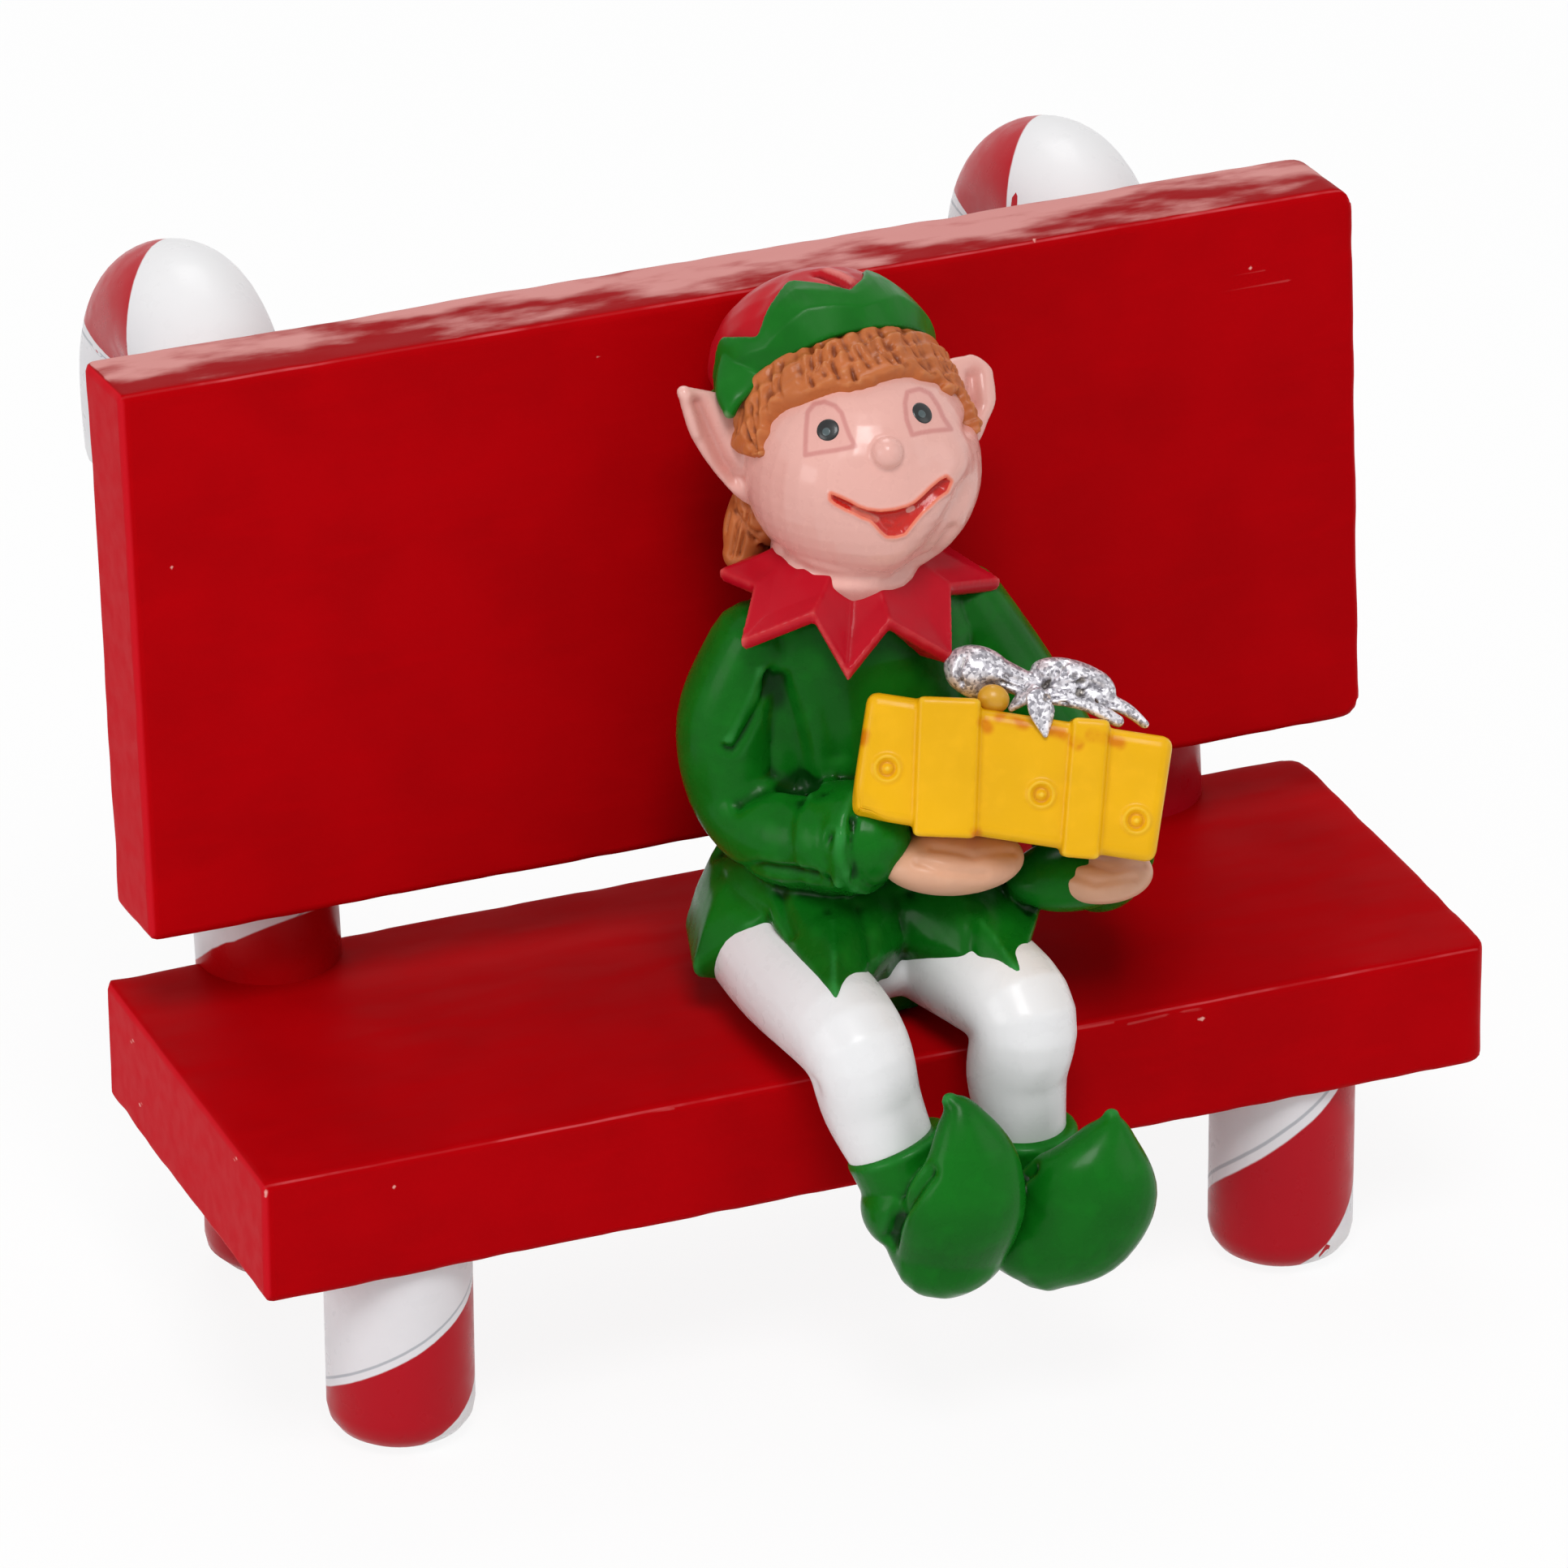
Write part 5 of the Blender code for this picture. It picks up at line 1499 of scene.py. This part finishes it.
# %% [markdown]
# Rings and rubbed places on the gift
#
# Three small raised rings are on the front, each with a groove inside it and a dot in its
# middle. One corner by the left hand is dented. The yellow is thin along some edges, where an
# orange undercoat shows: each vertex keeps how far it is from these places.

# %% Rings, dent and undercoat
RINGS = [(1093, 947), (1283, 979), (1400, 1011)]
RING_PROFILE = ((15.5, 0.13, -0.16), (8.5, 0.12, 0.10))
DENT = [(1056, 1000), (1062, 1004)]
RUBBED = [[(1212, 890), (1217, 897)], [(1202, 1026), (1203, 1034)], [(1323, 913), (1328, 917)],
          [(1232, 884), (1262, 892)], [(1296, 900), (1312, 905)], [(1345, 906), (1380, 916)],
          [(1062, 912), (1064, 905)]]
UNDERCOAT = (0.60, 0.17, 0.0)
marks = []
for px, py in RINGS:
    for reach, width, depth in RING_PROFILE:
        circle = [(px + reach * math.cos(angle), py + reach * math.sin(angle))
                  for angle in np.linspace(0, 2 * math.pi, 17)]
        marks.append((seen(gift, circle), width, depth))
    marks.append((seen(gift, [(px, py), (px + 1, py)]), 0.16, -0.12))
marks.append((seen(gift, DENT), 0.9, 0.5))
for points, width, depth in marks:
    press(gift, points, width, depth)
store(gift, "rubbed", np.minimum.reduce([outside(gift, line, closed=False) for line in RUBBED]))
tree, shader, tint = top_coat(gift_yellow)
orange = product(tree, remap(tree, attribute(tree, "rubbed"), 0.08, 0.5, 0.9, 0.0),
                 remap(tree, texture(tree, 900, 3), 0.38, 0.55, 0.3, 1.0))
tree.links.new(mix_colour(tree, orange, tint, UNDERCOAT), shader.inputs["Base Color"])
mark_hollows(gift)
finished(gift, gift_yellow, "elf")

# %% [markdown]
# The bow
#
# The bow stands on the lid: a puffed loop on the left, a pleated one on the right, a knot, a
# neck between them and four short tails. Its parts are placed by their pixels, on planes that
# lie a little before or behind the middle of the box, and are then cast in one.

# %% Bow
def over_gift(px, py, deep=0.0):
    """The drawn point that the photo shows at a pixel, on a plane through the gift box."""
    normal = GIFT_TURN @ Vector((0, 1, 0))
    ray = pixel_ray(px, py)
    spot = at(*held(0, deep, 0))
    return drawn(eye + ray * ((spot - eye).dot(normal) / ray.dot(normal)))


def ribbon(name, pixels, deep):
    """A ribbon of the bow through pixels, each with half its width and half its thickness."""
    line = [(*over_gift(px, py, deep), wide, thick) for px, py, wide, thick in pixels]
    return tube(name, line, sides=16, steps=5, facing=tuple(GIFT_TURN @ Vector((0, -0.5, 1))))


def puff(name, pixel, radii, roll, deep=-0.4):
    """An egg of the bow at a pixel, rolled by some degrees as seen from the front."""
    turn = GIFT_TURN @ Matrix.Rotation(math.radians(roll), 3, "Y")
    return egg(name, over_gift(*pixel, deep), radii, turn)


PUFFS = [("loop_left", (1206, 829), (1.9, 1.3, 1.4), 12),
         ("loop_left_end", (1190, 828), (1.1, 1.2, 1.05), 0),
         ("loop_right", (1322, 838), (2.3, 1.4, 1.05), 8),
         ("loop_right_end", (1350, 846), (1.2, 1.2, 0.85), 30),
         ("knot", (1277, 850), (0.8, 0.8, 0.65), 0)]
TAILS = [("neck", [(1222, 826, 1.2, 0.8), (1250, 838, 1.0, 0.7), (1280, 850, 0.8, 0.6)], -0.6),
         ("tail_left", [(1275, 852, 0.5, 0.4), (1258, 862, 0.5, 0.3), (1246, 873, 0.2, 0.2)], -1.6),
         ("tail_middle", [(1279, 856, 0.8, 0.4), (1284, 878, 0.8, 0.3), (1288, 906, 0.15, 0.2)], -3.2),
         ("tail_right", [(1295, 858, 0.6, 0.4), (1335, 866, 0.6, 0.35), (1378, 889, 0.4, 0.3)], -1.8),
         ("tail_far", [(1360, 862, 0.6, 0.4), (1388, 874, 0.5, 0.3), (1411, 893, 0.2, 0.25)], -0.8)]
bow_forms = [puff(*values) for values in PUFFS] + [ribbon(*values) for values in TAILS]
bow = cast("bow", bow_forms, 0.1, 1)
print("the bow has", len(bow_forms), "parts and", len(bow.data.polygons), "faces")

# %% [markdown]
# Pleats and glitter
#
# The pleats spread like a fan from the knot and are pressed in. The glitter is a mosaic of
# tiny flakes that differ in tone and tilt, over a grey silver paint. A drop of the yellow,
# a little darker, has run into the hollow of the left loop.

# %% Pleats and glitter
PLEATS = [[(1287, 846), (1302, 828), (1312, 816)], [(1288, 848), (1312, 828), (1332, 815)],
          [(1290, 850), (1326, 832), (1350, 822)], [(1291, 852), (1335, 838), (1366, 832)],
          [(1296, 857), (1335, 858), (1372, 868)], [(1290, 860), (1312, 868), (1330, 880)],
          [(1240, 832), (1262, 840)], [(1236, 842), (1262, 847)],
          [(1186, 812), (1180, 828), (1184, 843)]]
LOOP_HOLLOWS = [([(1335, 848), (1358, 848)], 0.4, 0.6), ([(1222, 852)], 0.6, 0.5)]
for pixels, width, depth in [(line, 0.15, 0.34) for line in PLEATS] + LOOP_HOLLOWS:
    press(bow, seen(bow, pixels), width, depth)
mark_hollows(bow, 3)
FLAKES_PER_METRE = 6500
DARK_FLAKE = (0.42, 0.41, 0.45)
BRIGHT_FLAKE = (1.3, 1.29, 1.32)
silver = paint("silver_glitter", (0.66, 0.65, 0.67), (0.22, 0.19, 0.15), (0.88, 0.87, 0.9), 0.34, 0.2,
               hollow=(0.01, 0.05), ridge=(0.02, 0.06), specular=0.5)
tree, shader, tint = top_coat(silver)
flake = texture(tree, FLAKES_PER_METRE, 0, kind="ShaderNodeTexVoronoi", output=1)
flake_tone = node(tree, "ShaderNodeRGBToBW")
tree.links.new(flake, flake_tone.inputs[0])
tone = mix_colour(tree, remap(tree, flake_tone.outputs[0], 0.2, 0.8), DARK_FLAKE, BRIGHT_FLAKE)
tree.links.new(mix_colour(tree, 1.0, tint, tone, "MULTIPLY"), shader.inputs["Base Color"])
relief = next(n for n in tree.nodes if n.type == "BUMP")
relief.inputs["Strength"].default_value = 0.55
tree.links.new(flake_tone.outputs[0], relief.inputs["Height"])
shader.inputs["Metallic"].default_value = 0.4
finished(bow, silver, "elf")
gold = flat_paint("gold_paint", (0.66, 0.34, 0.02), 0.35, 0.1)
smoothed(puff("loop_left_hollow", (1224, 861), (0.85, 0.6, 0.75), 10, -2.0), gold)

# %% [markdown]
# The floor
#
# A product photo like this has a white ground. The floor is plain, and looks white to the
# camera and in reflections, but a tenth of it still takes the object's soft shadow.

# %% Floor
FLOOR_SIZE = 6
FLOOR_GLOW = 0.9


def looked_at(tree):
    """1 for rays from the camera, from a gloss or through glass, and 0 for the rest."""
    path = node(tree, "ShaderNodeLightPath")
    watched = arithmetic(tree, "MAXIMUM", path.outputs["Is Camera Ray"], path.outputs["Is Glossy Ray"])
    return arithmetic(tree, "MAXIMUM", watched, path.outputs["Is Transmission Ray"])


bpy.ops.object.select_all(action="DESELECT")
bpy.ops.mesh.primitive_plane_add(size=FLOOR_SIZE, location=(0, 0, -0.2 * MM))
floor = bpy.context.object
floor.name = "floor"
ground_white = bpy.data.materials.new("floor_white")
ground_white.use_nodes = True
tree = ground_white.node_tree
shader = tree.nodes["Principled BSDF"]
shader.inputs["Base Color"].default_value = (0.9, 0.9, 0.9, 1)
shader.inputs["Roughness"].default_value = 0.9
glow = node(tree, "ShaderNodeEmission")
blend = node(tree, "ShaderNodeMixShader")
tree.links.new(product(tree, looked_at(tree), FLOOR_GLOW), blend.inputs[0])
tree.links.new(shader.outputs[0], blend.inputs[1])
tree.links.new(glow.outputs[0], blend.inputs[2])
tree.links.new(blend.outputs[0], tree.nodes["Material Output"].inputs["Surface"])
floor.data.materials.append(ground_white)
print("the floor is", FLOOR_SIZE, "m wide")

# %% [markdown]
# Lamps and world
#
# The main light is a soft square lamp above and in front. A weaker one stands low at the left,
# where it brightens the boards' ends. One from above and behind lights the top of the
# back-board, and a large faint one fills in from the right. The world gives a pale light from
# all round, and is plain white where it is looked at.

# %% Lamps and world
def lamp(name, place, size, power):
    """A square soft lamp that looks at the object."""
    bpy.ops.object.light_add(type="AREA", location=place)
    made = bpy.context.object
    made.name = name
    made.data.size = size
    made.data.energy = power
    made.rotation_euler = (LIT_POINT - Vector(place)).to_track_quat("-Z", "Y").to_euler()
    print(name, "shines with", power, "W")


LIT_POINT = Vector((0, 0, 0.03))
WORLD_LIGHT = 0.31
lamp("key_light", (-0.15, -0.45, 0.75), 0.30, 3.9)
lamp("side_light", (-0.8, -0.2, 0.3), 0.4, 1.8)
lamp("rear_light", (0.1, 0.42, 0.66), 0.35, 1.5)
lamp("fill_light", (0.6, -0.5, 0.35), 0.5, 0.95)
world = bpy.data.worlds.new("studio")
bpy.context.scene.world = world
world.use_nodes = True
tree = world.node_tree
background = tree.nodes["Background"]
strength = node(tree, "ShaderNodeMapRange")
tree.links.new(looked_at(tree), strength.inputs["Value"])
strength.inputs["To Min"].default_value = WORLD_LIGHT
strength.inputs["To Max"].default_value = 1.0
tree.links.new(strength.outputs["Result"], background.inputs["Strength"])
background.inputs["Color"].default_value = (1, 1, 1, 1)
bpy.context.scene.view_settings.view_transform = "Standard"
